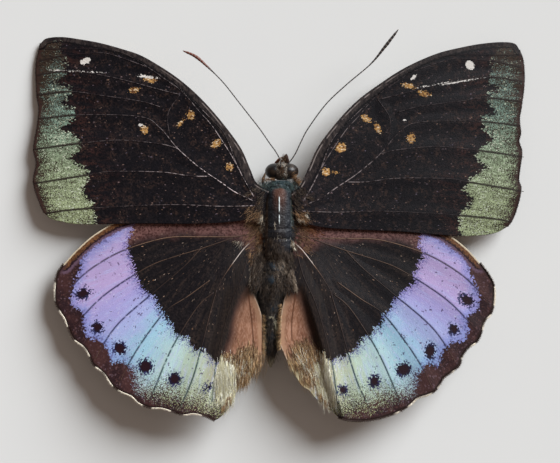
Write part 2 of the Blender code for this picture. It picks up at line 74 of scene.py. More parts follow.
def through(points, count):
    """Points at even steps on a smooth curve: between two points it is the cubic (Catmull-Rom) that
    leaves and meets them in the direction of their own neighbours."""
    points = np.asarray(points, float)
    padded = np.vstack([2 * points[0] - points[1], points, 2 * points[-1] - points[-2]])
    a, b, c, d = (padded[k : len(padded) - 3 + k][:, None] for k in range(4))
    t = np.linspace(0, 1, 16, endpoint=False)[None, :, None]
    cubic = 2 * b + (c - a) * t + (2 * a - 5 * b + 4 * c - d) * t**2 + (3 * b - a - 3 * c + d) * t**3
    fine = np.vstack([cubic.reshape(-1, points.shape[1]) / 2, points[-1:]])
    length = np.concatenate([[0], np.cumsum(np.linalg.norm(np.diff(fine, axis=0), axis=1))])
    even = np.linspace(0, length[-1], count)
    return np.column_stack([np.interp(even, length, column) for column in fine.T])


def closed_skin(rings):
    """The corners and faces over rings of points, each joined to the next, with a fan over either end."""
    count, sides = rings.shape[:2]
    corners = np.vstack([rings.reshape(-1, 3), rings[0].mean(axis=0), rings[-1].mean(axis=0)])
    side = np.arange(sides)
    after = np.roll(side, -1)
    ring = np.arange(count - 1)[:, None] * sides
    quads = np.stack([ring + side, ring + after, ring + sides + after, ring + sides + side], axis=-1)
    last = (count - 1) * sides
    first_fan = np.column_stack([after, side, np.full(sides, count * sides)])
    last_fan = np.column_stack([last + side, last + after, np.full(sides, count * sides + 1)])
    return corners, [quads.reshape(-1, 4), np.vstack([first_fan, last_fan])]


def facing_out(corners, faces):
    """The faces, all turned round if the volume that they enclose comes out negative."""
    volume = 0.0
    for group in faces:
        for k in range(1, group.shape[1] - 1):
            normal = np.cross(corners[group[:, k]], corners[group[:, k + 1]])
            volume += np.sum(corners[group[:, 0]] * normal)
    return faces if volume > 0 else [group[:, ::-1] for group in faces]


def add_piece(name, corners, faces, materials, values=None, material_numbers=None):
    """A closed piece at the origin from corners in millimetres, with values kept at its corners."""
    faces = facing_out(corners, faces)
    loops = np.concatenate([group.ravel() for group in faces]).astype(np.int32)
    sizes = np.concatenate([np.full(len(group), group.shape[1]) for group in faces])
    mesh = bpy.data.meshes.new(name)
    mesh.vertices.add(len(corners))
    mesh.vertices.foreach_set("co", (corners * MM).astype(np.float32).ravel())
    mesh.loops.add(len(loops))
    mesh.loops.foreach_set("vertex_index", loops)
    mesh.polygons.add(len(sizes))
    mesh.polygons.foreach_set("loop_start", (np.cumsum(sizes) - sizes).astype(np.int32))
    mesh.polygons.foreach_set("use_smooth", np.ones(len(sizes), bool))
    for material in materials:
        mesh.materials.append(material)
    if material_numbers is not None:
        mesh.polygons.foreach_set("material_index", material_numbers.astype(np.int32))
    mesh.update(calc_edges=True)
    for label, value in (values or {}).items():
        kind, field = ("FLOAT", "value") if value.ndim == 1 else ("FLOAT_VECTOR", "vector")
        made = mesh.attributes.new(label, kind, "POINT")
        made.data.foreach_set(field, value.astype(np.float32).ravel())
    piece = bpy.data.objects.new(name, mesh)
    bpy.context.scene.collection.objects.link(piece)
    return piece


class Amount:
    """A value that changes over the surface. Sums, differences and products of it are Math nodes."""

    def __init__(self, paint, socket):
        self.paint = paint
        self.socket = socket

    def __add__(self, other):
        return self.paint.maths("ADD", self, other)

    def __sub__(self, other):
        return self.paint.maths("SUBTRACT", self, other)

    def __rsub__(self, other):
        return self.paint.maths("SUBTRACT", other, self)

    def __mul__(self, other):
        return self.paint.maths("MULTIPLY", self, other)

    def __abs__(self):
        return self.paint.maths("ABSOLUTE", self)


class Shading:
    """A node tree written as expressions: each method adds one node or a few and gives their output."""

    def __init__(self, tree):
        self.tree = tree

    def results(self, node):
        """All the outputs of a node, by their names."""
        return {socket.name: Amount(self, socket) for socket in node.outputs}

    def join(self, value, socket):
        if isinstance(value, Amount):
            self.tree.links.new(value.socket, socket)
        elif socket.type == "RGBA":
            socket.default_value = (*value, 1.0)
        else:
            socket.default_value = value

    def add(self, kind, inputs, output=0, **settings):
        node = self.tree.nodes.new("ShaderNode" + kind)
        for name, value in settings.items():
            setattr(node, name, value)
        for place, value in inputs.items():
            self.join(value, node.inputs[place])
        return Amount(self, node.outputs[output])

    def maths(self, operation, first, second=0.0):
        return self.add("Math", {0: first, 1: second}, operation=operation)

    def rise(self, value, start, end):
        """0 where the value is at start, 1 where it is at end, and eased between them."""
        return self.add("MapRange", {0: value, 1: start, 2: end}, interpolation_type="SMOOTHSTEP")

    def mix(self, share, first, second, blend_type="MIX"):
        """The first colour where the share is 0 and the second where it is 1."""
        return self.add("Mix", {0: share, 6: first, 7: second}, 2, data_type="RGBA", blend_type=blend_type)

    def place(self):
        """Object coordinates in millimetres."""
        at = self.add("TexCoord", {}, "Object")
        return self.add("VectorMath", {0: at, "Scale": 1 / MM}, operation="SCALE")

    def part(self, vector, axis):
        """One of a vector's three numbers: 0 is x, 1 is y and 2 is z."""
        return self.add("SeparateXYZ", {0: vector}, axis)

    def stretch(self, vector, x, y, z):
        return self.add("VectorMath", {0: vector, 1: (x, y, z)}, operation="MULTIPLY")

    def attribute(self, name, output="Fac"):
        return self.add("Attribute", {}, output, attribute_name=name)

    def noise(self, vector, size, detail=2.0, seed=0.0):
        """Cloudy noise about 0.5, with lumps of about the size."""
        inputs = {"Vector": vector, "W": seed, "Scale": 1 / size, "Detail": detail}
        return self.add("TexNoise", inputs, noise_dimensions="4D")

    def speck(self, vector, size, seed=0.0):
        """The distance to the nearest of many scattered points that lie about the size apart."""
        inputs = {"Vector": vector, "W": seed, "Scale": 1 / size}
        return self.add("TexVoronoi", inputs, voronoi_dimensions="4D")

    def ramp(self, value, stops):
        """A colour that passes through the stops, each a place from 0 to 1 and a colour."""
        output = self.add("ValToRGB", {0: value})
        elements = output.socket.node.color_ramp.elements
        while len(elements) < len(stops):
            elements.new(1.0)
        for element, (position, colour) in zip(elements, stops):
            element.position = position
            element.color = (*colour, 1.0)
        return output

    def relief(self, height, depth, strength=1.0):
        """The normal of a surface with this height over it, where 1 stands depth millimetres high."""
        return self.add("Bump", {"Height": height, "Distance": depth * MM, "Strength": strength})


def finish(name, roughness, specular=0.3, **sockets):
    """A material with its Principled shader's plain values set, and its node tree ready to write in."""
    made = bpy.data.materials.new(name)
    made.use_nodes = True
    shader = made.node_tree.nodes["Principled BSDF"]
    shader.inputs["Roughness"].default_value = roughness
    shader.inputs["Specular IOR Level"].default_value = specular
    for label, value in sockets.items():
        shader.inputs[label.replace("_", " ")].default_value = value
    return made, Shading(made.node_tree), shader.inputs


def body_rings(stations, count, sides, swelling):
    """Ellipses along Y whose middles and half sizes run smoothly through the stations. The swelling,
    in millimetres, is a function of y, x as a share of the half width, and the angle round the ring."""
    y, x, z, half_width, half_height = through(stations, count).T[:, :, None]
    angle = np.linspace(0, 2 * math.pi, sides, endpoint=False)[None, :]
    across, up = np.cos(angle), np.sin(angle)
    out = swelling(y, across, angle)
    ring = [x + (half_width + out) * across, y + 0 * angle, z + (half_height + out) * up]
    return np.stack(ring, axis=-1)


def thorax_swelling(y, across, angle):
    """A groove with rounded corners bounds the shield, a raised line runs down its middle, and the knob
    stands behind it."""
    top = eased(np.sin(angle) * 1.6)
    outline = (((across + 0.04) / 0.68) ** 4 + ((y - 2.9) / 3.7) ** 4) ** 0.25
    grooves = -0.26 * bump(outline, 1.0, 0.07) + 0.12 * bump(outline, 1.14, 0.09)
    grooves = grooves * (0.25 + 0.75 * eased((y + 1.0) / 2.5))
    line = 0.16 * bump(across, 0.012, 0.035) * eased((5.2 - y) / 1.2) * eased((y - 0.2) / 0.4)
    sutures = -0.07 * bump(y, -0.6, 0.2) - 0.14 * bump(y, -2.35, 0.2)
    knob = 0.18 * bump(y, -1.35, 0.75) * bump(across, 0.0, 0.45)
    plates = 0.1 * np.sin(y * 2.6) * (1 - top)
    dents = 0.05 * np.sin(across * 9 + y * 1.1) * np.sin(y * 2.3 - across * 4)
    return top * (grooves + line + sutures + knob + dents) + plates


thorax_rings = body_rings(THORAX, count=150, sides=144, swelling=thorax_swelling)
thorax_rings[..., 2] = np.maximum(thorax_rings[..., 2], 0.0)
thorax_finish, paint, inputs = finish("thorax chitin", 0.45, 0.3)
at = paint.place()
x, y, z = (paint.part(at, axis) for axis in range(3))
mottle = paint.rise(paint.noise(at, 0.7, 4.0), 0.4, 0.62)
base = paint.mix(mottle, srgb(16, 19, 27), srgb(36, 38, 44))
middle = paint.rise(abs(x - 0.1), 1.5, 0.5)
red_brown = paint.mix(paint.rise(y, 1.5, 5.8), srgb(36, 32, 34), srgb(82, 50, 38))
base = paint.mix(middle * 0.85, base, red_brown)
tan_stripe = paint.rise(abs(x + 2.2), 0.4, 0.12)
base = paint.mix(tan_stripe * 0.7, base, srgb(74, 58, 46))
side_stripe = paint.rise(abs(x - 2.3), 0.4, 0.12)
side_stripe = side_stripe * paint.rise(y, -1.5, 1.5)
base = paint.mix(side_stripe * 0.7, base, srgb(78, 90, 86))
# Painted highlight: a thin near-white line along the raised middle line of the shield, broken by noise
painted_ridge_highlight = paint.rise(abs(x - 0.04), 0.12, 0.04)
from_middle = abs(y - 2.6)
painted_ridge_highlight = painted_ridge_highlight * paint.rise(from_middle, 2.5, 2.2)
painted_ridge_highlight = painted_ridge_highlight * paint.rise(paint.noise(at, 0.8, 3.0, 9.0), 0.3, 0.46)
base = paint.mix(painted_ridge_highlight, base, srgb(206, 214, 216))
collar = y + abs(x) * 0.6
collar = collar + paint.noise(at, 0.6, 3.0, 12.0)
collar = paint.rise(collar, 6.8, 8.0)
cloudy = paint.rise(paint.noise(at, 0.5, 3.0, 1.0), 0.36, 0.64)
base = paint.mix(collar, base, paint.mix(cloudy, srgb(22, 36, 44), srgb(66, 82, 84)))
flank = paint.rise(z, 5.6, 3.4)
base = paint.mix(flank, base, paint.mix(mottle, srgb(60, 48, 40), srgb(104, 88, 72)))
paint.join(base, inputs["Base Color"])
paint.join(paint.rise(paint.noise(at, 0.35, 3.0, 5.0), 0.1, 0.85), inputs["Roughness"])
paint.join(paint.relief(paint.noise(at, 0.3, 5.0, 7.0), 0.22), inputs["Normal"])
thorax = add_piece("thorax_shell", *closed_skin(thorax_rings), [thorax_finish])
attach(thorax, "root")
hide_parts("thorax")

# Abdomen: eight rings of dark chitin, each slipped a little over the next like the joints of a
# telescope, flattened as it dried. It is near black with a blue-teal gloss.
ABDOMEN = [
    (-5.72, -0.55, 4.4, 2.2, 2.4),
    (-7.0, -0.8, 4.4, 2.75, 2.6),
    (-9.5, -1.15, 4.3, 2.9, 2.6),
    (-13.4, -1.5, 4.1, 2.25, 2.2),
    (-17.1, -1.35, 3.8, 1.6, 1.75),
    (-21.3, -1.4, 3.3, 1.2, 1.3),
    (-23.5, -1.5, 2.95, 0.75, 0.85),
    (-24.95, -1.5, 2.75, 0.12, 0.15),
]
ABDOMEN_SEGMENTS = 8


def abdomen_swelling(y, across, angle):
    """Each segment widens towards its hind rim and then drops to the next, by a tenth of its girth."""
    along = (ABDOMEN[0][0] - y) / (ABDOMEN[0][0] - ABDOMEN[-1][0])
    share = (along * ABDOMEN_SEGMENTS) % 1
    step = eased(share / 0.85) - eased((share - 0.86) / 0.14)
    girth = np.interp(along, [0, 0.2, 0.5, 1], [1, 1.1, 0.7, 0.15])
    crease = -0.12 * bump(np.sin(angle), 0.15, 0.12) * girth
    keel = 0.07 * bump(across, 0.0, 0.16) * eased(np.sin(angle)) * girth
    uneven = 0.05 * np.sin(angle * 3 + y * 1.7) + 0.04 * np.sin(angle * 7 - y * 2.9)
    return (-0.1 + 0.13 * step + uneven) * girth + crease + keel


abdomen_rings = body_rings(ABDOMEN, count=190, sides=96, swelling=abdomen_swelling)
abdomen_finish, paint, inputs = finish("abdomen chitin", 0.52, 0.3)
at = paint.place()
x, y, z = (paint.part(at, axis) for axis in range(3))
mottle = paint.rise(paint.noise(at, 0.8, 4.0), 0.4, 0.64)
base = paint.mix(mottle, srgb(19, 20, 25), srgb(44, 39, 38))
blue = paint.rise(paint.noise(at, 1.6, 2.0, 2.0), 0.5, 0.64)
base = paint.mix(blue, base, srgb(26, 38, 48))
bars = paint.rise(paint.noise(paint.stretch(at, 0.2, 1.0, 0.2), 0.25, 2.0, 4.0), 0.62, 0.8)
base = paint.mix(bars, base, srgb(74, 68, 62))
belly = paint.rise(z, 3.6, 2.4)
base = paint.mix(belly, base, paint.mix(mottle, srgb(96, 78, 60), srgb(130, 112, 90)))
tip = paint.rise(y, -22.6, -23.8)
base = paint.mix(tip, base, srgb(150, 142, 122))
paint.join(base, inputs["Base Color"])
scratch = paint.noise(paint.stretch(at, 1.0, 0.3, 1.0), 0.1, 3.0, 6.0)
paint.join(paint.relief(scratch, 0.06), inputs["Normal"])
abdomen = add_piece("abdomen_shell", *closed_skin(abdomen_rings), [abdomen_finish])
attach(abdomen, "root")
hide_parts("abdomen")

# Head: a small capsule between two great compound eyes, turned a little to one side. The capsule is
# dark chitin under pale scales, and each eye is a brown-black dome of fine facets.
HEAD_CENTRE = np.array([0.47, 9.35, 4.9])
HEAD_RADII = (2.2, 1.65, 1.95)
HEAD_HALF_WIDTH = 0.95
HEAD_BACK = 7.87
EYE_OFFSET = np.array([1.2, 0.1, 0.0])
EYE_RADII = (1.72, 1.4, 1.75)
EYE_INNER = 0.91


def ball(centre, radii, rows, sides):
    """An ellipsoid about the X axis, as rings from its left pole to its right one."""
    polar = np.linspace(0.02, math.pi - 0.02, rows)[:, None]
    round_it = np.linspace(0, 2 * math.pi, sides, endpoint=False)[None, :]
    unit = [-np.cos(polar) + 0 * round_it, np.sin(polar) * np.cos(round_it), np.sin(polar) * np.sin(round_it)]
    return centre + np.stack(unit, axis=-1) * radii


head_rings = ball(HEAD_CENTRE, HEAD_RADII, rows=60, sides=72)
inner_left, inner_right = HEAD_CENTRE[0] - HEAD_HALF_WIDTH, HEAD_CENTRE[0] + HEAD_HALF_WIDTH
head_rings[..., 0] = np.clip(head_rings[..., 0], inner_left, inner_right)
head_rings[..., 1] = np.maximum(head_rings[..., 1], HEAD_BACK)
head_finish, paint, inputs = finish("head scales", 0.6, 0.3)
at = paint.place()
pale = paint.rise(paint.noise(at, 0.22, 2.0), 0.52, 0.62)
base = paint.mix(paint.noise(at, 0.5, 2.0, 3.0), srgb(38, 36, 36), srgb(76, 62, 50))
base = paint.mix(pale * 0.6, base, srgb(150, 138, 122))
paint.join(base, inputs["Base Color"])
paint.join(paint.relief(paint.noise(at, 0.12, 2.0, 2.0), 0.08), inputs["Normal"])
head = add_piece("head_capsule", *closed_skin(head_rings), [head_finish])
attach(head, "root")
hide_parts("head")

eye_finish, paint, inputs = finish("eye facets", 0.35, 0.3, Coat_Weight=0.1, Coat_Roughness=0.15)
at = paint.place()
facets = paint.speck(at, 0.07)
base = paint.mix(paint.rise(paint.noise(at, 0.9, 2.0), 0.4, 0.62), srgb(17, 14, 17), srgb(44, 34, 26))
base = paint.mix(paint.rise(paint.part(at, 2), 4.6, 3.2), base, srgb(48, 28, 22))
paint.join(base, inputs["Base Color"])
paint.join(paint.relief(facets, -0.03, 0.6), inputs["Normal"])
for side, name in ((-1, "left_eye"), (1, "right_eye")):
    rings = ball(HEAD_CENTRE + side * EYE_OFFSET * (1, side, 1), EYE_RADII, rows=64, sides=80)
    inner = HEAD_CENTRE[0] + side * EYE_INNER
    limit = np.minimum if side < 0 else np.maximum
    rings[..., 0] = limit(rings[..., 0], inner)
    eye = add_piece(name + "_dome", *closed_skin(rings), [eye_finish])
    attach(eye, "root")
    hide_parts(name)

# Palps and tongue: two scaly palps reach up in front of the face and make its snout, and the tongue,
# a thin hollow tube, lies coiled between them.
PALPS = {
    "left_palp": [
        (10.45, -0.35, 3.3, 0.25, 0.25),
        (11.0, -0.25, 3.75, 0.5, 0.5),
        (11.6, 0.25, 4.2, 0.5, 0.45),
        (12.0, 0.5, 4.4, 0.1, 0.1),
    ],
    "right_palp": [
        (10.45, 1.25, 3.35, 0.25, 0.25),
        (11.0, 1.2, 3.9, 0.55, 0.5),
        (11.8, 1.2, 4.5, 0.45, 0.45),
        (12.5, 1.27, 4.8, 0.07, 0.07),
    ],
}
TONGUE_CENTRE = (0.47, 10.85, 2.03)
TONGUE_OUTER = 0.78
TONGUE_INNER = 0.3
TONGUE_TURNS = 2.0
TONGUE_START = math.radians(120)
TONGUE_RADIUS = 0.11
TONGUE_RIBS = 60


def tube_rings(path, radii, sides):
    """Round rings square to a path, at each of its points, with the first corner of each straight up."""
    ahead = np.gradient(path, axis=0)
    ahead /= np.linalg.norm(ahead, axis=1)[:, None]
    sideways = np.cross(ahead, (0.0, 0.0, 1.0))
    sideways /= np.linalg.norm(sideways, axis=1)[:, None]
    upward = np.cross(sideways, ahead)
    angle = np.linspace(0, 2 * math.pi, sides, endpoint=False)[None, :, None]
    spokes = np.cos(angle) * upward[:, None] + np.sin(angle) * sideways[:, None]
    return path[:, None] + spokes * np.asarray(radii)[:, None, None]


def palp_swelling(y, across, angle):
    """Low tufts of scales that wind round the palp: five sine waves round it, shifted along it."""
    return 0.03 * np.sin(angle * 5 + y * 9)


palp_finish, paint, inputs = finish("palp scales", 0.6, 0.3)
at = paint.place()
warm = paint.rise(paint.part(at, 0), 0.9, -0.1)
base = paint.mix(warm, srgb(56, 38, 32), srgb(112, 62, 40))
base = paint.mix(paint.rise(paint.noise(at, 0.16, 2.0), 0.6, 0.76), base, srgb(136, 104, 82))
paint.join(base, inputs["Base Color"])
paint.join(paint.relief(paint.noise(paint.stretch(at, 1, 0.3, 0.5), 0.08, 2.0), 0.08), inputs["Normal"])
for name, stations in PALPS.items():
    rings = body_rings(stations, count=40, sides=32, swelling=palp_swelling)
    palp = add_piece(name + "_scales", *closed_skin(rings), [palp_finish])
    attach(palp, "root")
    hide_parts(name)

horn_finish, paint, inputs = finish("brown horn", 0.42, 0.4)
at = paint.place()
base = paint.mix(paint.rise(paint.noise(at, 0.5, 3.0), 0.38, 0.64), srgb(64, 46, 34), srgb(112, 84, 58))
paint.join(base, inputs["Base Color"])
paint.join(paint.relief(paint.noise(at, 0.1, 3.0), 0.05), inputs["Normal"])
turn = np.linspace(0, 1, 180)
angle = TONGUE_START - turn * TONGUE_TURNS * 2 * math.pi
out = TONGUE_OUTER + (TONGUE_INNER - TONGUE_OUTER) * turn
round_it = np.linspace(0, 2 * math.pi, 12, endpoint=False)[None, :]
radius = TONGUE_RADIUS * (1 + 0.06 * np.sin(turn * 2 * math.pi * TONGUE_RIBS))[:, None]
reach = out[:, None] + radius * np.cos(round_it)
coil = [radius * np.sin(round_it), reach * np.cos(angle)[:, None], reach * np.sin(angle)[:, None]]
tongue = add_piece("proboscis_coil", *closed_skin(TONGUE_CENTRE + np.stack(coil, axis=-1)), [horn_finish])
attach(tongue, "root")
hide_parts("proboscis")

# Antennae: two long stiff feelers of some forty short rings, each widening near its end into a slender
# club. The shafts are near black, and the left club is a reddish brown.
ANTENNA_SHARES = [0, 0.74, 0.9, 0.97, 1]
ANTENNA_RADII = [0.1, 0.1, 0.29, 0.2, 0.06]
ANTENNA_RINGS = 46
ANTENNA_SIDES = 16
ANTENNAE = {
    "left_antenna": [
        (0.3, 10.05, 7.0), (0.15, 11.4, 7.0), (-0.65, 12.9, 7.0), (-1.6, 14.2, 7.0),
        (-3.4, 16.8, 7.1), (-5.2, 19.1, 7.2), (-7.0, 21.4, 7.3), (-9.7, 24.8, 7.4),
        (-12.4, 27.5, 7.4), (-14.5, 29.3, 7.4), (-16.7, 30.3, 7.4),
    ],
    "right_antenna": [
        (1.0, 10.05, 7.0), (1.9, 11.1, 7.0), (2.8, 12.4, 7.0), (3.85, 14.6, 7.0),
        (5.1, 16.9, 7.1), (8.2, 21.1, 7.3), (11.8, 24.5, 7.4), (15.9, 28.0, 7.4),
        (18.3, 30.9, 7.4), (19.4, 32.3, 7.4), (20.7, 34.0, 7.4),
    ],
}
CLUB_COLOURS = {"left_antenna": srgb(98, 44, 30), "right_antenna": srgb(40, 34, 34)}
for name, points in ANTENNAE.items():
    path = through(points, 460)
    share = np.linspace(0, 1, len(path))
    ring = (share * ANTENNA_RINGS) % 1
    swell = 0.93 + 0.09 * eased(ring / 0.3) * eased((1 - ring) / 0.3)
    radii = np.interp(share, ANTENNA_SHARES, ANTENNA_RADII) * swell
    antenna_finish, paint, inputs = finish(name.replace("_", " ") + " horn", 0.42, 0.4)
    along = paint.attribute("along")
    base = paint.mix(paint.rise(along, 0.76, 0.84), srgb(46, 42, 44), CLUB_COLOURS[name])
    joint = paint.maths("FRACT", along * ANTENNA_RINGS)
    base = paint.mix(paint.rise(joint, 0.75, 0.95), base, srgb(120, 108, 98))
    paint.join(base, inputs["Base Color"])
    paint.join(paint.relief(paint.noise(paint.place(), 0.1, 2.0), 0.03), inputs["Normal"])
    values = {"along": np.concatenate([np.repeat(share, ANTENNA_SIDES), [0, 1]])}
    rings = tube_rings(path, radii, ANTENNA_SIDES)
    antenna = add_piece(name + "_rings", *closed_skin(rings), [antenna_finish], values)
    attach(antenna, "root")
    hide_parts(name)

# Legs: folded under the body as the specimen dried. The front pair are short brushes, and the others
# have a thigh, a spined shin and a foot of five short joints, all thin hollow horn.
LEGS = {
    "foreleg": ([(2.45, 5.9, 1.5), (2.9, 8.0, 1.3), (2.2, 9.7, 0.9)], [0.3, 0.26, 0.12]),
    "midleg": (
        [(3.4, 1.2, 1.6), (5.8, 4.0, 1.5), (7.4, -0.4, 0.45), (7.9, -4.6, 0.17)],
        [0.42, 0.34, 0.24, 0.17],
    ),
    "hindleg": (
        [(3.15, -2.9, 1.6), (5.2, -4.9, 1.4), (5.7, -9.6, 0.4), (5.2, -13.6, 0.17)],
        [0.42, 0.34, 0.24, 0.17],
    ),
}
KNEE_WAIST = 0.25
KNEE_SWELL = 0.12
FOOT_WAIST = 0.18
FOOT_JOINTS = 5
SMOOTHED_STEPS = 9


def leg_path(joints, radii, count):
    """Straight runs between the joints, rounded there by a running mean. The width has a narrow waist at
    each knee, a swelling beyond it and, along the last run, a waist at each joint of the foot."""
    joints = np.asarray(joints, float)
    reach = np.concatenate([[0], np.cumsum(np.linalg.norm(np.diff(joints, axis=0), axis=1))])
    at = np.linspace(0, reach[-1], count)
    path = np.column_stack([np.interp(at, reach, column) for column in joints.T])
    kernel = np.ones(SMOOTHED_STEPS) / SMOOTHED_STEPS
    core = np.column_stack([np.convolve(column, kernel, "valid") for column in path.T])
    path[SMOOTHED_STEPS // 2 : -(SMOOTHED_STEPS // 2)] = core
    widths = np.interp(at, reach, radii)
    for knee in reach[1:-1]:
        widths *= 1 - KNEE_WAIST * bump(at, knee, 0.16) + KNEE_SWELL * bump(at, knee + 0.35, 0.2)
    foot = np.clip((at - reach[-2]) / (reach[-1] - reach[-2]), 0, 1)
    if len(joints) > 3:
        widths *= 1 - FOOT_WAIST * (np.cos(foot * FOOT_JOINTS * 2 * math.pi) + 1) / 2 * (foot > 0)
    return path, widths


for leg_name, (joints, radii) in LEGS.items():
    for side, side_name in ((-1, "left_"), (1, "right_")):
        path, widths = leg_path(np.array(joints) * (side, 1, 1), radii, count=150)
        rings = tube_rings(path, widths, sides=14)
        rings[..., 2] = np.maximum(rings[..., 2], 0.0)
        leg = add_piece(side_name + leg_name + "_horn", *closed_skin(rings), [horn_finish])
        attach(leg, "root")
        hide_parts(side_name + leg_name)

# Hindwings: a clear membrane stretched between hollow veins and shingled with dust-fine scales, which give
# all its colour. The band shades from lilac through sky blue to pale green, with a row of black eyespots,
# and the part beside the body is a bare pinkish trough that held the abdomen.
MEMBRANE = 0.07
VEIN_PLEAT = 0.12
PLEAT_WIDTH = 1.2
HINDWING_ROOT_HEIGHT = 6.0
HINDWING_REACH = 39.0
HINDWING_DROOP = 3.6
TAIL_RISE = 1.5
TAIL_LENGTH = 34.0
HINDWING_ARCH = 0.3
HINDWING_SPAN = 44.0
HINDWING_HINGE_Y = -2.0
FOLD_DEPTH = 1.2
FOLD_WALL = 1.3
FOLD_START = -10.0
FOLD_FULL = -17.0
FAN_REFERENCE = 20.0
LEFT_HINDWING = {
    "front": [
        (-3.19, 0.3), (-6.0, 2.0), (-11.2, 2.9), (-17.3, 3.0), (-23.5, 2.2), (-27.8, 0.9),
        (-29.8, 0.0), (-32.9, -2.0), (-35.7, -4.5), (-37.8, -6.8),
    ],
    "outer": [
        (-37.8, -6.8), (-38.9, -8.5), (-39.3, -11.0), (-39.2, -13.4), (-38.3, -15.2), (-37.5, -16.4),
        (-36.9, -18.0), (-35.9, -19.9), (-34.1, -21.3), (-33.1, -22.9), (-32.4, -24.4), (-30.6, -25.8),
        (-29.2, -27.8), (-27.7, -28.9), (-25.7, -29.8), (-24.5, -30.9), (-22.6, -31.7), (-20.5, -31.8),
        (-18.7, -32.3), (-16.6, -32.9), (-14.9, -32.7), (-13.1, -33.1), (-11.2, -34.0),
    ],
    "hind": [
        (-2.89, -4.0), (-4.4, -6.2), (-4.9, -8.7), (-4.7, -11.0), (-4.0, -12.9), (-3.3, -14.8),
        (-2.9, -16.6), (-2.8, -19.0), (-2.7, -21.5), (-3.2, -23.6), (-4.3, -25.8), (-6.2, -27.4),
        (-7.5, -29.2), (-7.9, -30.8), (-8.9, -32.0), (-10.2, -33.4), (-11.2, -34.0),
    ],
}
RIGHT_HINDWING = {
    "front": [
        (3.16, -0.3), (5.9, 0.9), (10.7, 2.0), (17.3, 2.2), (22.9, 1.3), (27.5, -0.5), (30.1, -1.9),
        (32.9, -4.1), (35.2, -6.6),
    ],
    "outer": [
        (35.2, -6.6), (36.9, -8.9), (37.7, -10.8), (37.7, -13.4), (37.1, -15.5), (36.0, -16.7),
        (35.3, -19.0), (34.5, -20.4), (32.9, -21.5), (31.9, -23.0), (31.5, -24.4), (30.3, -25.5),
        (28.7, -26.6), (27.5, -28.5), (26.2, -29.4), (24.1, -30.1), (22.7, -31.3), (20.6, -32.5),
        (18.0, -33.4), (15.2, -33.9), (12.4, -33.9), (10.3, -33.4),
    ],
    "hind": [
        (2.39, -4.0), (2.6, -5.9), (2.5, -7.5), (2.4, -9.7), (1.4, -11.5), (0.7, -13.6), (0.3, -15.9),
        (0.1, -18.7), (0.2, -20.8), (0.8, -22.3), (1.7, -24.3), (3.0, -26.5), (3.9, -27.9),
        (5.2, -28.7), (6.1, -29.9), (7.7, -31.1), (9.1, -32.3), (10.3, -33.4),
    ],
}
LEFT_FOLD = [(-6.0, -11.0), (-9.8, -23.2)]
RIGHT_FOLD = [(4.0, -11.0), (7.6, -23.2)]
# The outer edge of the bare trough beside the abdomen, and the brown line down its inner part
LEFT_TROUGH = [
    (-4.6, -8.5), (-6.1, -11.3), (-7.2, -13.1), (-8.1, -15.7), (-8.6, -18.3), (-9.3, -20.9),
    (-9.8, -22.6), (-8.8, -24.0), (-7.4, -25.2), (-6.9, -28.0), (-6.9, -35.0),
]
RIGHT_TROUGH = [
    (3.0, -8.5), (3.7, -10.4), (4.4, -12.7), (5.1, -15.2), (5.8, -17.4), (6.3, -20.1), (7.2, -22.2),
    (7.6, -23.0), (6.8, -24.4), (5.7, -25.8), (5.3, -28.5), (5.0, -35.0),
]
LEFT_CREASE = [(-5.3, -12.2), (-4.9, -15.5), (-4.6, -18.5), (-4.4, -21.8)]
RIGHT_CREASE = [(2.96, -11.3), (2.43, -14.8), (2.17, -17.4), (2.26, -20.1)]
# Three marks on the left wing and the same three on the right: the root and two places on the margin
HINDWING_MARKS = (
    [(-4.2, -2.55), (-39.0, -11.3), (-11.0, -33.7)],
    [(1.95, -2.7), (37.6, -12.0), (9.55, -34.0)],
)
HINDWING_FAN = (-8.0, -1.0)
VEIN_SIDES = 8
HINDWING_VEIN_RADII = (0.095, 0.055)
# Painted shade: the share of black mixed into the right wings' colour, full from this distance out
RIGHT_WING_PAINTED_SHADE = 0.3
RIGHT_WING_PAINTED_SHADE_FULL = 24.0
# The veins of the left hindwing from root to margin: x, y and how rubbed and pale the vein is there
HINDWING_VEINS = [
    [(-5.1, -1.6, 0.1), (-8.1, -2.0, 0.25), (-13.7, -2.0, 0.45), (-19.8, -2.2, 0.5), (-27.0, -4.3, 0.5),
     (-31.9, -6.9, 0.5), (-35.4, -9.7, 0.2), (-38.6, -13.6, 0.0)],
    [(-8.1, -2.2, 0.1), (-13.7, -4.1, 0.2), (-18.0, -5.4, 0.2), (-22.2, -6.9, 0.25), (-27.3, -9.9, 0.0),
     (-31.5, -13.0, 0.0), (-35.7, -17.4, 0.0)],
    [(-13.7, -4.1, 0.15), (-16.5, -7.1, 0.08), (-21.4, -11.3, 0.05), (-26.6, -15.7, 0.0),
     (-29.4, -18.8, 0.0), (-32.2, -23.4, 0.3)],
    [(-12.1, -9.6, 0.2), (-16.1, -12.5, 0.3), (-19.8, -15.0, 0.0), (-23.8, -20.2, 0.0),
     (-26.6, -24.8, 0.1), (-28.0, -27.9, 0.3)],
    [(-11.4, -11.7, 0.05), (-13.8, -13.7, 0.15), (-16.6, -17.8, 0.1), (-19.3, -22.7, 0.0),
     (-22.7, -31.0, 0.1)],
    [(-10.9, -11.3, 0.05), (-12.1, -15.7, 0.12), (-13.7, -22.0, 0.0), (-15.2, -27.1, 0.0),
     (-17.5, -32.3, 0.1)],
    [(-4.6, -2.7, 0.3), (-6.0, -3.9, 1.0), (-7.7, -6.1, 0.8), (-9.5, -8.7, 0.15), (-11.2, -11.6, 0.05)],
    [(-5.1, -3.6, 0.1), (-6.3, -8.6, 0.02), (-8.2, -13.1, 0.02), (-9.6, -18.0, 0.02),
     (-10.9, -23.9, 0.1), (-11.7, -30.6, 0.0)],
]
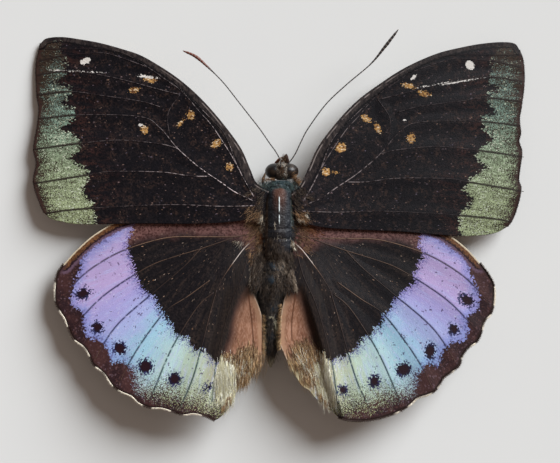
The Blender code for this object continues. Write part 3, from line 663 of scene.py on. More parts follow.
# The dark disc's edge on either wing, from the front of the wing to its hind end
LEFT_DISC = [
    (-25.6, 4.0), (-25.8, -0.6), (-26.6, -3.6), (-25.6, -6.6), (-24.9, -9.0), (-23.8, -11.3),
    (-21.7, -12.5), (-20.8, -14.5), (-19.8, -16.0), (-18.9, -17.1), (-18.2, -18.7), (-17.3, -19.4),
    (-15.9, -19.7), (-15.4, -20.6), (-14.7, -21.6), (-13.3, -21.6), (-12.6, -22.3), (-11.7, -23.2),
    (-10.3, -24.0),
]
RIGHT_DISC = [
    (24.8, 4.0), (24.8, -2.0), (24.3, -3.4), (25.2, -5.5), (24.3, -6.9), (23.3, -8.7), (23.8, -9.9),
    (22.4, -11.0), (21.3, -11.8), (19.8, -13.6), (19.1, -15.2), (18.2, -15.5), (17.7, -17.1),
    (16.8, -18.1), (15.9, -19.2), (14.5, -19.7), (13.6, -21.5), (12.4, -22.2), (11.0, -22.9),
    (8.4, -23.8),
]
# The band's outer edge on the left wing, where the brown margin eats into it
BAND_EDGE = [
    (-27.0, 4.0), (-28.4, -1.0), (-31.3, -2.7), (-33.1, -4.0), (-35.2, -6.2), (-34.8, -7.1),
    (-36.2, -10.8), (-36.6, -12.5), (-36.4, -14.1), (-34.3, -15.5), (-34.5, -16.9), (-33.8, -19.7),
    (-31.5, -19.9), (-29.9, -21.5), (-29.2, -24.1), (-27.1, -23.7), (-25.4, -25.5), (-24.5, -28.8),
    (-20.0, -29.9), (-17.3, -30.9), (-14.7, -31.4), (-11.0, -32.7), (-9.0, -36.0),
]
# Each eyespot: x, y, its two half lengths and its tilt in degrees
LEFT_EYESPOTS = [
    (-34.3, -11.9, 1.2, 0.8, 20), (-31.8, -17.8, 0.9, 0.85, 0), (-27.8, -21.5, 1.05, 1.0, 0),
    (-23.3, -24.6, 1.15, 1.1, 0), (-18.2, -26.7, 0.95, 1.0, 0), (-12.4, -28.1, 0.5, 0.28, 35),
]
RIGHT_EYESPOTS = [
    (32.9, -13.1, 1.2, 0.85, -30), (30.6, -18.1, 0.9, 0.85, 0), (26.4, -22.0, 0.9, 1.2, 0),
    (21.7, -25.1, 1.15, 1.1, 0), (16.6, -27.1, 0.8, 0.95, 0), (11.0, -28.6, 0.7, 0.7, 0),
]


def distance_to(points, line):
    """The distance in plan from each point to the nearest stretch of a line."""
    nearest = np.full(len(points), np.inf)
    line = np.asarray(line, float)[:, :2]
    for a, b in zip(line, line[1:]):
        along = np.clip(((points - a) @ (b - a)) / ((b - a) @ (b - a)), 0, 1)
        nearest = np.minimum(nearest, np.linalg.norm(points - a - along[:, None] * (b - a), axis=1))
    return nearest


def within(points, rim):
    """Whether each point is inside a closed rim, by counting the edges of it to the point's right."""
    crossings = np.zeros(len(points), int)
    rim = np.asarray(rim, float)
    for a, b in zip(rim, np.roll(rim, -1, axis=0)):
        spans = (a[1] > points[:, 1]) != (b[1] > points[:, 1])
        run = np.where(spans, (points[:, 1] - a[1]) / (b[1] - a[1] + 1e-12), 0)
        crossings += spans & (points[:, 0] < a[0] + run * (b[0] - a[0]))
    return crossings % 2 == 1


def beyond(points, line, body_side):
    """The distance in plan to a line, negative on the side of it where the corners of body_side are."""
    gap = distance_to(points, line)
    return np.where(within(points, [*line, *body_side]), -gap, gap)


def inside_ovals(points, ovals):
    """How deep each point lies in the nearest of some tilted ovals, in millimetres, negative outside."""
    depth = np.full(len(points), -9.0)
    for x, y, long_half, short_half, tilt in ovals:
        cosine, sine = math.cos(math.radians(tilt)), math.sin(math.radians(tilt))
        offset = points - (x, y)
        across = (offset @ (cosine, sine)) / long_half
        along = (offset @ (-sine, cosine)) / short_half
        depth = np.maximum(depth, (1 - np.hypot(across, along)) * min(long_half, short_half))
    return depth


def carried(points, here, there):
    """Points in plan moved by the flat map that takes three marks here to the three marks there."""
    points = np.asarray(points, float)
    here, there = (np.column_stack([np.asarray(marks, float), np.ones(3)]) for marks in (here, there))
    moved = np.column_stack([points[:, :2], np.ones(len(points))]) @ np.linalg.solve(here, there[:, :2])
    return np.column_stack([moved, points[:, 2:]])


def on_side(side, shapes, marks):
    """Shapes drawn on the left wing: as they are for it, and carried over by the marks for the right."""
    if side < 0:
        return [np.asarray(shape, float) for shape in shapes]
    return [carried(shape, *marks) for shape in shapes]


def wing_plan(edges, rows, columns):
    """The Coons patch of a wing's four edges: the blend of the front and hind edges, added to the blend
    of the root and outer edges, less the blend of the four corners."""
    front, hind = (through(edges[name], columns)[None] for name in ("front", "hind"))
    outer = through(edges["outer"][::-1], rows)[:, None]
    v = np.linspace(0, 1, rows)[:, None, None]
    u = np.linspace(0, 1, columns)[None, :, None]
    root = (1 - v) * hind[:, :1] + v * front[:, :1]
    corners = (1 - u) * root + u * ((1 - v) * hind[:, -1:] + v * front[:, -1:])
    return ((1 - v) * hind + v * front + (1 - u) * root + u * outer - corners).reshape(-1, 2)


def ripple(plan):
    """The slow unevenness of a dried membrane: three crossed sine waves, each 0.04 mm high."""
    x, y = plan.T
    return 0.04 * (np.sin(x / 2.9 + 0.8 * np.sin(y / 4.1)) + np.sin(y / 2.3 + x / 8) + np.sin((x - y) / 4.7))


def hindwing_height(plan, fold):
    """A shallow arch that droops outwards and rises to the tail, with the fold beside the abdomen sunk."""
    reach = np.hypot(plan[:, 0], plan[:, 1] - HINDWING_HINGE_Y)
    arch = HINDWING_ROOT_HEIGHT + HINDWING_ARCH * np.sin(math.pi * np.clip(reach / HINDWING_SPAN, 0, 1))
    arch -= HINDWING_DROOP * (np.abs(plan[:, 0]) / HINDWING_REACH) ** 1.5
    arch += TAIL_RISE * np.clip(-plan[:, 1] / TAIL_LENGTH, 0, 1)
    top, bottom = np.asarray(fold, float)
    along = (bottom - top) / np.linalg.norm(bottom - top)
    inward = np.array([-along[1], along[0]])
    if inward[0] * top[0] > 0:
        inward = -inward
    depth = FOLD_DEPTH * np.clip((FOLD_START - plan[:, 1]) / (FOLD_START - FOLD_FULL), 0, 1)
    return arch - depth * eased(((plan - top) @ inward) / FOLD_WALL + 0.5) + ripple(plan)


def wing_skins(plan, height, rows, columns):
    """Two skins of the membrane, one over the other, joined round their rim into one closed piece."""
    corners = np.vstack([
        np.column_stack([plan, height + MEMBRANE]),
        np.column_stack([plan, height - MEMBRANE]),
    ])
    i, j = np.meshgrid(np.arange(rows - 1) * columns, np.arange(columns - 1), indexing="ij")
    upper = np.stack([i + j, i + j + 1, i + j + columns + 1, i + j + columns], axis=-1).reshape(-1, 4)
    number = np.arange(rows * columns).reshape(rows, columns)
    rim = np.concatenate([number[0, :-1], number[:-1, -1], number[-1, :0:-1], number[:0:-1, 0]])
    after = np.roll(rim, -1)
    below = rows * columns
    edge = np.column_stack([after, rim, rim + below, after + below])
    faces = [upper, upper[:, ::-1] + below, edge]
    return corners, faces, np.repeat([0, 1, 0], [len(group) for group in faces])


def vein_tubes(veins, height, thick, thin):
    """Closed tapered tubes, half sunk in the membrane, with their paleness at each corner."""
    all_corners, quads, fans, pale = [], [], [], []
    count = 0
    for vein in veins:
        line = through(vein, max(8, int(np.ptp(np.asarray(vein)[:, :2], axis=0).sum() / 0.45)))
        share = np.linspace(0, 1, len(line))
        path = np.column_stack([line[:, :2], height(line[:, :2]) + MEMBRANE * 0.7])
        rings = tube_rings(path, thick + (thin - thick) * share, VEIN_SIDES)
        corners, (tube_quads, tube_fans) = closed_skin(rings)
        all_corners.append(corners)
        quads.append(tube_quads + count)
        fans.append(tube_fans + count)
        pale.append(np.concatenate([np.repeat(line[:, 2], VEIN_SIDES), line[[0, -1], 2]]))
        count += len(corners)
    return np.vstack(all_corners), [np.vstack(quads), np.vstack(fans)], np.concatenate(pale)


def fan_place(points, centre, side):
    """Polar coordinates about a centre: the radius, and the angle from straight out towards the tail,
    as the length that it has on a circle of the reference radius."""
    offset = points - np.asarray(centre)
    angle = np.arctan2(-offset[:, 1], side * offset[:, 0])
    return np.column_stack([np.hypot(*offset.T), angle * FAN_REFERENCE, np.zeros(len(points))]), angle


def scale_mosaic_group():
    """Scales laid in rows: long cells on the wing's own polar coordinates, each with two random values
    and a height that falls from its middle to its edge."""
    group = bpy.data.node_groups.new("scale mosaic", "ShaderNodeTree")
    group.interface.new_socket("Place", in_out="INPUT", socket_type="NodeSocketVector")
    for label, default in (("Length", 0.3), ("Width", 0.15)):
        socket = group.interface.new_socket(label, in_out="INPUT", socket_type="NodeSocketFloat")
        socket.default_value = default
    for label in ("First", "Second", "Third", "Height"):
        group.interface.new_socket(label, in_out="OUTPUT", socket_type="NodeSocketFloat")
    paint = Shading(group)
    given = paint.results(group.nodes.new("NodeGroupInput"))
    sizes = paint.add("CombineXYZ", {0: given["Length"], 1: given["Width"], 2: 1.0})
    cells = paint.add("VectorMath", {0: given["Place"], 1: sizes}, operation="DIVIDE")
    distance = paint.add("TexVoronoi", {"Vector": cells, "Scale": 1.0}, voronoi_dimensions="2D")
    colour = paint.results(distance.socket.node)["Color"]
    results = group.nodes.new("NodeGroupOutput").inputs
    for channel, label in enumerate(("First", "Second", "Third")):
        paint.join(paint.add("SeparateColor", {0: colour}, channel), results[label])
    paint.join(1.0 - distance, results["Height"])
    return group


scale_mosaic = scale_mosaic_group()


def scales(paint, place, length, width):
    """The mosaic group placed in a material, as its outputs by name."""
    node = paint.tree.nodes.new("ShaderNodeGroup")
    node.node_tree = scale_mosaic
    paint.join(place, node.inputs["Place"])
    node.inputs["Length"].default_value = length
    node.inputs["Width"].default_value = width
    return paint.results(node)


def ragged(paint, value, *unevenness):
    """A value in millimetres moved by noises or random values about 0.5, each times its own width."""
    for noise, width in unevenness:
        value = value + (noise - 0.5) * width
    return value


def painted_shade_share(points, side):
    """Painted shade as a share of black: 0 on the left wings, on the right ones more the further out."""
    return RIGHT_WING_PAINTED_SHADE * eased(np.abs(points[:, 0]) / RIGHT_WING_PAINTED_SHADE_FULL) * (side > 0)


def hindwing_values(points, side):
    """What the finish needs at each point: the polar place, and distances to the parts of the pattern."""
    if side < 0:
        edges, disc, spots = LEFT_HINDWING, LEFT_DISC, LEFT_EYESPOTS
        trough, crease = LEFT_TROUGH, LEFT_CREASE
    else:
        edges, disc, spots = RIGHT_HINDWING, RIGHT_DISC, RIGHT_EYESPOTS
        trough, crease = RIGHT_TROUGH, RIGHT_CREASE
    band_edge, (centre,), *veins = on_side(side, [BAND_EDGE, [HINDWING_FAN], *HINDWING_VEINS], HINDWING_MARKS)
    fan, angle = fan_place(points, centre, side)
    return {
        "fan": fan,
        # painted shade, which darkens the right wing where it slopes towards the lamp
        "dull": painted_shade_share(points, side),
        "sweep": angle / (math.pi / 2),
        "disc": beyond(points, disc, [(0, -30), (0, 8)]),
        "edge": -beyond(points, band_edge, [(0, -36), (0, 8)]),
        "spot": inside_ovals(points, spots),
        "rim": distance_to(points, through(edges["outer"], 140)),
        "costa": distance_to(points, through(edges["front"], 60)),
        "hem": distance_to(points, through(edges["front"][4:], 60)),
        "fold": -beyond(points, through(trough, 40), [(0, -36), (0, -6)]),
        "inner": distance_to(points, through(edges["hind"], 60)),
        "crease": distance_to(points, through(crease, 20)),
        "vein": np.min([distance_to(points, through(v, 30)) for v in veins], axis=0),
    }


def hindwing_finish():
    """The upper side: each mark is a distance, roughened by the scales and by noise, then cut at zero."""
    made, paint, inputs = finish("hindwing scales", 0.52, 0.15)
    fan = paint.attribute("fan", "Vector")
    at = paint.place()
    mosaic = scales(paint, fan, 0.26, 0.15)
    first, second, third = mosaic["First"], mosaic["Second"], mosaic["Third"]
    sweep, disc, edge = (paint.attribute(name) for name in ("sweep", "disc", "edge"))
    spot, rim, costa, fold = (paint.attribute(name) for name in ("spot", "rim", "costa", "fold"))
    vein, ridge, pale = (paint.attribute(name) for name in ("vein", "ridge", "pale"))
    streaks = paint.noise(paint.stretch(fan, 0.12, 1.0, 1.0), 0.55, 3.0)
    clouds = paint.noise(at, 3.0, 3.0, 2.0)

    grit = paint.noise(at, 0.34, 3.0, 12.0)
    disc_brown = paint.mix(paint.rise(clouds, 0.35, 0.65), srgb(24, 21, 26), srgb(34, 29, 31))
    disc_brown = paint.mix(paint.rise(grit, 0.34, 0.66), srgb(17, 15, 19), disc_brown)
    brown_dust = paint.rise(paint.noise(paint.stretch(fan, 0.18, 1.0, 1.0), 0.7, 4.0, 8.0), 0.46, 0.68)
    brown_dust = brown_dust * paint.rise(grit, 0.36, 0.62)
    disc_brown = paint.mix(brown_dust, disc_brown, srgb(51, 41, 38))
    olive = paint.rise(fold, -8.5, -1.5) * paint.rise(streaks, 0.4, 0.66)
    disc_brown = paint.mix(olive * 0.55, disc_brown, srgb(52, 43, 37))
    mauve = paint.rise(ragged(paint, costa, (clouds, 3.0), (grit, 1.6)), 5.6, 3.2)
    mauve_colour = paint.mix(paint.rise(grit, 0.36, 0.64), srgb(70, 42, 40), srgb(124, 88, 84))
    disc_brown = paint.mix(mauve, disc_brown, mauve_colour)
    near_edge = paint.rise(ragged(paint, disc, (clouds, 2.0)), -4.5, -0.5)
    near_edge = near_edge * paint.rise(sweep, 0.62, 0.3)
    patchy = paint.rise(paint.noise(at, 1.8, 2.0, 31.0), 0.5, 0.7)
    gold_share = (near_edge + 0.2) * patchy
    gold_share = gold_share * 0.03
    gold = paint.rise(first + gold_share, 0.99, 1.01)
    disc_brown = paint.mix(gold, disc_brown, paint.mix(third, srgb(156, 112, 78), srgb(206, 184, 168)))

    hue = ragged(paint, sweep, (streaks, 0.16), (clouds, 0.1))
    band = paint.ramp(hue, [
        (0.02, srgb(178, 160, 204)),
        (0.12, srgb(190, 170, 220)),
        (0.24, srgb(196, 172, 222)),
        (0.36, srgb(176, 168, 226)),
        (0.47, srgb(176, 188, 236)),
        (0.58, srgb(166, 212, 234)),
        (0.70, srgb(196, 228, 228)),
        (0.80, srgb(190, 210, 188)),
        (0.90, srgb(192, 196, 164)),
        (0.97, srgb(176, 164, 124)),
    ])
    lights = paint.rise(paint.noise(paint.stretch(fan, 0.1, 1.0, 1.0), 0.35, 2.0, 6.0), 0.5, 0.72)
    band = paint.mix(lights * 0.45, band, srgb(186, 196, 244))
    band = paint.mix(first * 0.16, band, srgb(120, 116, 160))
    band = paint.mix(paint.rise(grit, 0.56, 0.8), band, srgb(214, 214, 240))
    specks = paint.rise(ragged(paint, paint.noise(at, 0.9, 3.0, 9.0), (second, 0.34)), 0.71, 0.76)
    band = paint.mix(specks * 0.8, band, srgb(78, 62, 100))

    margin = paint.mix(paint.rise(clouds, 0.4, 0.6), srgb(48, 31, 35), srgb(70, 44, 44))
    margin = paint.mix(paint.rise(grit, 0.5, 0.72), margin, srgb(92, 62, 60))
    pale_scales = paint.rise(second, 0.9, 0.97) * 0.45
    margin = paint.mix(pale_scales, margin, srgb(120, 96, 106))

    fine = paint.noise(paint.stretch(fan, 0.25, 1.0, 1.0), 0.22, 2.0, 23.0)
    in_band = paint.rise(ragged(paint, disc, (first, 0.9), (fine, 1.3), (streaks, 1.6)), -0.06, 0.06)
    low = paint.rise(sweep, 0.5, 0.78)
    dots = paint.rise(paint.noise(at, 0.13, 2.0, 41.0), 0.32, 0.68)
    sprinkle = low * 5.6 * (dots - 0.64)
    edge = ragged(paint, edge, (second, 0.7), (grit, 1.2), (clouds, 1.2)) + sprinkle
    in_edge = paint.rise(edge, -0.1, 0.1)
    check = paint.rise(third, 0.5, 0.6)
    sage = paint.rise(edge, 3.0, 0.6) * low
    band = paint.mix(sage, band, paint.mix(dots, srgb(112, 130, 122), srgb(178, 184, 134)))
    blue_hem = paint.rise(edge, 2.2, 0.3) * (1.0 - low)
    band = paint.mix(blue_hem * 0.5, band, srgb(112, 136, 212))
    violet = paint.rise(ragged(paint, disc, (second, 1.2)), 1.5, 0.2)
    violet = violet * paint.rise(dots, 0.4, 0.6)
    band = paint.mix(violet * 0.85, band, srgb(78, 74, 150))
    beside = paint.rise(edge, 1.0, 0.1) * paint.rise(first, 0.5, 0.6)
    band = paint.mix(beside * 0.75, band, srgb(92, 84, 132))
    spot_halo = paint.rise(ragged(paint, spot, (second, 0.6)), -0.7, -0.2)
    spot_halo = spot_halo * check
    band = paint.mix(spot_halo, band, srgb(58, 60, 104))
    colour = paint.mix(in_band, disc_brown, paint.mix(in_edge, margin, band))
    teeth = paint.noise(at, 0.42, 3.0, 4.0)
    in_spot = paint.rise(ragged(paint, spot, (first, 0.4), (teeth, 1.3)), -0.04, 0.04)
    spot_dark = paint.mix(paint.rise(spot, 0.0, 0.5), srgb(30, 26, 48), srgb(40, 20, 28))
    colour = paint.mix(in_spot, colour, spot_dark)

    breaks = paint.rise(paint.noise(at, 0.8, 4.0, 15.0), 0.3, 0.46)
    vein_blue = paint.mix(paint.rise(sweep, 0.45, 0.7), srgb(44, 44, 84), srgb(46, 70, 78))
    vein_dark = paint.mix(in_band, srgb(38, 31, 33), paint.mix(in_edge, srgb(40, 26, 28), vein_blue))
    rubbed = (breaks * 0.7 + 0.3) * pale
    vein_pale = paint.mix(paint.rise(pale, 0.55, 0.8), srgb(166, 132, 108), srgb(214, 200, 192))
    vein_colour = paint.mix(rubbed, vein_dark, vein_pale)
    shown = paint.maths("MAXIMUM", 1.0 - in_band, breaks)
    colour = paint.mix(ridge * shown, colour, vein_colour)
    seam = paint.rise(vein, 0.26, 0.1) * paint.rise(disc, 0.0, 0.4)
    seam = seam * breaks * in_edge
    colour = paint.mix(seam * 0.6, colour, vein_blue)

    rim_brown = paint.rise(ragged(paint, rim, (first, 0.2)), 0.5, 0.22)
    colour = paint.mix(rim_brown, colour, srgb(44, 29, 27))
    far_out = paint.rise(disc, -1.5, 1.0) * paint.rise(rim, 0.1, 0.9)
    dusty = paint.rise(ragged(paint, costa, (second, 0.3)), 1.9, 1.5)
    colour = paint.mix(dusty * far_out, colour, srgb(104, 80, 96))
    purple = paint.rise(ragged(paint, costa, (second, 0.2)), 1.35, 1.15)
    colour = paint.mix(purple * far_out, colour, srgb(42, 26, 34))
    orange = paint.rise(ragged(paint, costa, (second, 0.3)), 1.0, 0.75)
    orange_colour = paint.mix(paint.rise(grit, 0.4, 0.6), srgb(92, 60, 40), srgb(128, 88, 58))
    colour = paint.mix(orange * far_out, colour, orange_colour)
    cream = paint.rise(ragged(paint, paint.attribute("hem"), (second, 0.08)), 0.3, 0.14)
    cream = cream * paint.rise(disc, -1.5, 1.0)
    colour = paint.mix(cream, colour, srgb(222, 206, 180))

    down = paint.part(at, 1)
    trough = paint.ramp(paint.noise(paint.stretch(at, 1.0, 0.35, 1.0), 1.3, 3.0, 3.0), [
        (0.32, srgb(118, 78, 60)),
        (0.5, srgb(140, 98, 76)),
        (0.68, srgb(170, 126, 104)),
    ])
    fuzz = paint.noise(paint.stretch(at, 1.0, 0.3, 1.0), 0.16, 2.0, 33.0)
    nap = paint.rise(fuzz, 0.4, 0.66) * 0.35
    trough = paint.mix(nap, trough, srgb(204, 162, 140))
    inwards = paint.rise(ragged(paint, fold, (clouds, 1.0)), 0.0, 2.0)
    trough = paint.mix(inwards, srgb(58, 40, 36), trough)
    inner = paint.rise(ragged(paint, paint.attribute("inner"), (grit, 0.5)), 1.25, 0.6)
    trough = paint.mix(inner * 0.75, trough, srgb(172, 134, 108))
    pale_rim = paint.rise(ragged(paint, paint.attribute("inner"), (fuzz, 0.5)), 0.3, 0.1)
    trough = paint.mix(pale_rim * 0.8, trough, srgb(196, 172, 150))
    upper_end = paint.rise(ragged(paint, down, (clouds, 4.0)), -15.0, -11.0)
    trough = paint.mix(upper_end, trough, srgb(66, 46, 38))
    crease = paint.rise(paint.attribute("crease"), 0.2, 0.06)
    trough = paint.mix(crease * 0.8, trough, srgb(86, 52, 36))
    tail = paint.rise(ragged(paint, down, (streaks, 3.0)), -22.6, -24.4)
    hairs = paint.noise(paint.stretch(at, 1.0, 0.14, 1.0), 0.3, 3.0, 29.0)
    tail_colour = paint.mix(paint.rise(hairs, 0.38, 0.62), srgb(134, 108, 76), srgb(216, 206, 172))
    trough = paint.mix(tail, trough, tail_colour)
    shade = paint.rise(fold, -3.0, -0.6) * paint.rise(down, -9.0, -12.0)
    shade = shade * paint.rise(down, -24.2, -22.6)
    shade_colour = paint.mix(paint.rise(fuzz, 0.4, 0.7), srgb(28, 22, 21), srgb(54, 42, 36))
    colour = paint.mix(shade * 0.8, colour, shade_colour)
    in_fold = paint.rise(ragged(paint, fold, (clouds, 0.9), (fuzz, 0.8)), -0.5, 0.5)
    in_fold = in_fold * paint.rise(ragged(paint, down, (clouds, 3.0)), -10.2, -12.6)
    colour = paint.mix(in_fold, colour, trough)
    # Painted shade: the right wing darkened towards black by the share kept at its corners
    colour = paint.mix(paint.attribute("dull"), colour, (0.0, 0.0, 0.0))
    paint.join(colour, inputs["Base Color"])
    height = mosaic["Height"] * (1.0 - in_fold)
    paint.join(paint.relief(height, 0.03, 0.7), inputs["Normal"])
    return made


def underside_finish(name, warm, cool):
    """The underside of a wing: cloudy ochre scales, with a darker line that follows the outer margin 4.2 mm
    in.
    """
    made, paint, inputs = finish(name, 0.55, 0.25)
    fan = paint.attribute("fan", "Vector")
    at = paint.place()
    mosaic = scales(paint, fan, 0.26, 0.15)
    clouds = paint.noise(at, 5.0, 4.0, 1.0)
    colour = paint.mix(paint.rise(clouds, 0.36, 0.64), warm, cool)
    colour = paint.mix(mosaic["First"] * 0.25, colour, srgb(94, 74, 58))
    from_line = abs(paint.attribute("rim") - 4.2)
    lines = paint.rise(from_line, 0.45, 0.2)
    colour = paint.mix(lines * 0.6, colour, srgb(88, 62, 46))
    paint.join(colour, inputs["Base Color"])
    paint.join(paint.relief(mosaic["Height"], 0.03, 0.7), inputs["Normal"])
    return made


def membrane(name, side, edges, grid, height, values_at, finishes):
    """The wing itself: it sinks from each vein by the pleat, times one less e to the minus square of the
    distance over the pleat's width. Neither a vein's tube nor its rubbed colour is on it."""
    plan = wing_plan(edges, *grid)
    values = values_at(plan, side)
    pleat = -VEIN_PLEAT * (1 - np.exp(-((values["vein"] / PLEAT_WIDTH) ** 2)))
    corners, faces, numbers = wing_skins(plan, height(plan) + pleat, *grid)
    values["ridge"] = values["pale"] = np.zeros(len(plan))
    values = {label: np.concatenate([value, value]) for label, value in values.items()}
    return add_piece(name + "_membrane", corners, faces, finishes, values, numbers)


def vein_piece(name, side, veins, radii, height, values_at, upper, paleness=1.0):
    """The veins of a wing as one piece, in the finish of its upper side."""
    corners, faces, pale = vein_tubes(veins, height, *radii)
    values = values_at(corners[:, :2], side)
    values["ridge"] = np.ones(len(corners))
    values["pale"] = pale * paleness
    return add_piece(name + "_veins", corners, faces, [upper], values)


HINDWING_GRID = (236, 190)
HINDWINGS = ((-1, "left_", LEFT_HINDWING, LEFT_FOLD), (1, "right_", RIGHT_HINDWING, RIGHT_FOLD))
hindwing_upper = hindwing_finish()
hindwing_under = underside_finish("hindwing underside", srgb(150, 128, 104), srgb(176, 160, 140))
hindwing_skins = [hindwing_upper, hindwing_under]
for side, side_name, edges, fold in HINDWINGS:
    def height(plan):
        return hindwing_height(plan, fold)

    name = side_name + "hindwing"
    wing = membrane(name, side, edges, HINDWING_GRID, height, hindwing_values, hindwing_skins)
    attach(wing, "root")
    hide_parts(name)
    veins = on_side(side, HINDWING_VEINS, HINDWING_MARKS)
    tubes = vein_piece(name, side, veins, HINDWING_VEIN_RADII, height, hindwing_values, hindwing_upper)
    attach(tubes, "root")

# Forewings: the same membrane and scales over stouter veins. They are black-brown with a violet cast, a
# few ochre and white flecks in the cell, and a grey-green band whose inner edge is cut in steps between
# the veins. They lie over the front of the hindwings.
FOREWING_ROOT_HEIGHT = 7.0
FOREWING_REACH = 43.0
FOREWING_DROOP = 4.6
FRONT_DROOP = 2.0
FRONT_START = 5.0
FRONT_LENGTH = 28.0
LEFT_FOREWING = {
    "front": [
        (-1.73, 6.2), (-3.9, 7.4), (-5.1, 10.0), (-6.8, 13.7), (-10.3, 18.4), (-13.8, 22.3),
        (-17.3, 25.4), (-20.8, 27.8), (-24.3, 29.8), (-27.8, 31.0), (-31.3, 32.0), (-34.8, 32.7),
        (-38.3, 33.2), (-41.0, 33.0), (-42.1, 32.1),
    ],
    "outer": [
        (-42.1, 32.1), (-42.5, 30.5), (-42.9, 27.9), (-42.7, 23.0), (-42.3, 20.5), (-42.6, 17.4),
        (-43.2, 13.5), (-42.7, 10.9), (-43.2, 7.9), (-42.5, 5.1), (-41.3, 2.2),
    ],
    "hind": [
        (-2.62, 1.5), (-7.7, 0.7), (-13.8, 0.3), (-24.3, 0.3), (-34.8, 0.2), (-38.3, 0.7), (-40.1, 1.2),
        (-41.3, 2.2),
    ],
}
RIGHT_FOREWING = {
    "front": [
        (2.12, 5.7), (3.7, 7.1), (5.1, 10.0), (6.8, 13.7), (10.3, 18.3), (13.8, 21.9), (17.7, 24.8),
        (21.2, 27.1), (24.7, 28.9), (28.2, 30.3), (31.7, 31.2), (35.2, 31.9), (39.0, 32.3), (41.5, 32.1),
        (42.4, 31.0),
    ],
    "outer": [
        (42.4, 31.0), (43.1, 28.8), (43.2, 24.9), (42.6, 20.5), (42.3, 18.8), (42.5, 16.3), (42.2, 14.8),
        (42.7, 12.7), (42.1, 8.3), (42.5, 6.5), (42.0, 3.9), (41.1, 1.3), (40.1, -0.2),
    ],
    "hind": [
        (2.64, 0.8), (7.5, -0.3), (12.4, -0.7), (21.2, -1.1), (28.2, -1.7), (32.0, -1.9), (35.9, -1.7),
        (38.3, -1.2), (40.1, -0.2),
    ],
}
FOREWING_MARKS = (
    [(-3.9, 6.2), (-42.2, 32.1), (-40.4, 1.3)],
    [(3.6, 5.3), (42.45, 31.0), (40.4, -0.2)],
)
FOREWING_FAN = (60.0, 12.0)
FOREWING_VEIN_RADII = (0.1, 0.055)
# How pale a rubbed vein is on either wing: less of the right one's shows
FOREWING_PALENESS = {-1: 1.0, 1: 0.55}
FOREWING_VEINS = [
    [(-4.4, 5.0, 0.6), (-5.8, 7.4, 0.8), (-8.1, 11.8, 0.5), (-11.6, 17.2, 0.5), (-13.8, 19.7, 0.35),
     (-17.3, 23.7, 0.2), (-22.6, 27.5, 0.1)],
    [(-7.2, 10.0, 0.3), (-9.3, 15.5, 0.6), (-11.7, 18.4, 0.5), (-14.2, 20.9, 0.4), (-18.3, 25.0, 0.1)],
    [(-17.3, 23.7, 0.2), (-26.1, 29.6, 0.1), (-31.3, 30.9, 0.0), (-38.3, 31.0, 0.0), (-41.9, 31.2, 0.0)],
    [(-22.6, 27.5, 0.1), (-29.6, 30.0, 0.1), (-33.1, 30.2, 0.0), (-38.3, 29.8, 0.0), (-42.3, 29.0, 0.0)],
    [(-17.3, 22.8, 0.2), (-20.8, 23.7, 0.15), (-27.8, 25.6, 0.1), (-34.8, 27.0, 0.1),
     (-38.3, 27.1, 0.1), (-42.5, 26.5, 0.0)],
    [(-20.8, 20.7, 0.1), (-24.3, 21.7, 0.1), (-31.3, 22.8, 0.1), (-36.6, 23.5, 0.1), (-42.5, 23.0, 0.0)],
    [(-4.6, 4.3, 0.3), (-7.7, 5.8, 0.9), (-10.3, 7.6, 0.9), (-13.8, 10.0, 0.8), (-17.7, 13.4, 0.5),
     (-20.8, 17.0, 0.2), (-24.3, 19.0, 0.15), (-34.8, 19.4, 0.1), (-42.2, 18.8, 0.0)],
    [(-17.7, 13.4, 0.4), (-20.8, 14.2, 0.2), (-27.8, 14.9, 0.1), (-34.8, 14.4, 0.1), (-42.9, 13.4, 0.0)],
    [(-12.1, 8.5, 0.6), (-15.6, 8.6, 0.4), (-20.8, 9.3, 0.3), (-29.6, 9.4, 0.1), (-33.1, 8.9, 0.1),
     (-42.9, 7.4, 0.0)],
    [(-4.2, 3.4, 0.5), (-10.3, 3.3, 0.3), (-18.2, 3.6, 0.15), (-27.8, 3.3, 0.1), (-36.6, 2.7, 0.1),
     (-40.9, 2.1, 0.0)],
    [(-17.3, 22.8, 0.1), (-19.4, 19.5, 0.1), (-19.1, 15.5, 0.1)],
]
# The green band's inner edge, with an inward tip on either side of each vein and a notch between them
LEFT_BAND = [
    (-38.6, 36.0), (-38.4, 31.0), (-37.6, 28.2), (-38.0, 26.1), (-39.7, 25.3), (-36.6, 24.4),
    (-36.8, 22.8), (-38.7, 21.4), (-35.9, 20.4), (-36.1, 18.8), (-38.3, 16.9), (-34.8, 15.1),
    (-34.7, 13.7), (-37.1, 11.6), (-33.4, 9.5), (-33.6, 8.1), (-34.7, 6.2), (-32.7, 3.7),
    (-32.4, 2.3), (-32.2, -3.0),
]
RIGHT_BAND = [
    (38.4, 36.0), (38.0, 30.0), (36.9, 24.9), (39.7, 23.9), (36.9, 23.2), (36.6, 21.6), (38.3, 20.0),
    (35.9, 19.0), (36.0, 17.0), (38.3, 15.3), (35.2, 13.5), (34.5, 12.0), (36.6, 10.0), (33.8, 8.3),
    (32.4, 6.5), (34.3, 4.4), (31.8, 2.3), (31.7, 1.1), (32.0, -4.0),
]
LEFT_WHITE_FLECKS = [
    (-34.0, 28.9, 0.95, 0.5, 20), (-23.1, 26.0, 1.4, 0.22, -8), (-24.2, 17.6, 0.3, 0.25, 0),
    (-36.0, 27.1, 2.8, 0.1, -3),
]
LEFT_OCHRE_FLECKS = [
    (-22.4, 25.5, 1.0, 0.5, -10), (-25.4, 23.7, 0.85, 0.45, 10), (-23.5, 16.7, 0.65, 0.7, 0),
    (-15.4, 19.3, 0.65, 0.7, 0), (-17.2, 17.9, 0.7, 0.3, 45), (-10.9, 14.2, 0.95, 0.6, 30),
    (-8.6, 10.2, 0.65, 0.7, 0),
]
RIGHT_WHITE_FLECKS = [
    (33.5, 28.2, 0.7, 0.85, 35), (23.5, 25.8, 0.5, 0.25, 40), (21.9, 18.4, 0.25, 0.2, 0),
    (30.6, 25.1, 4.0, 0.13, 9),
]
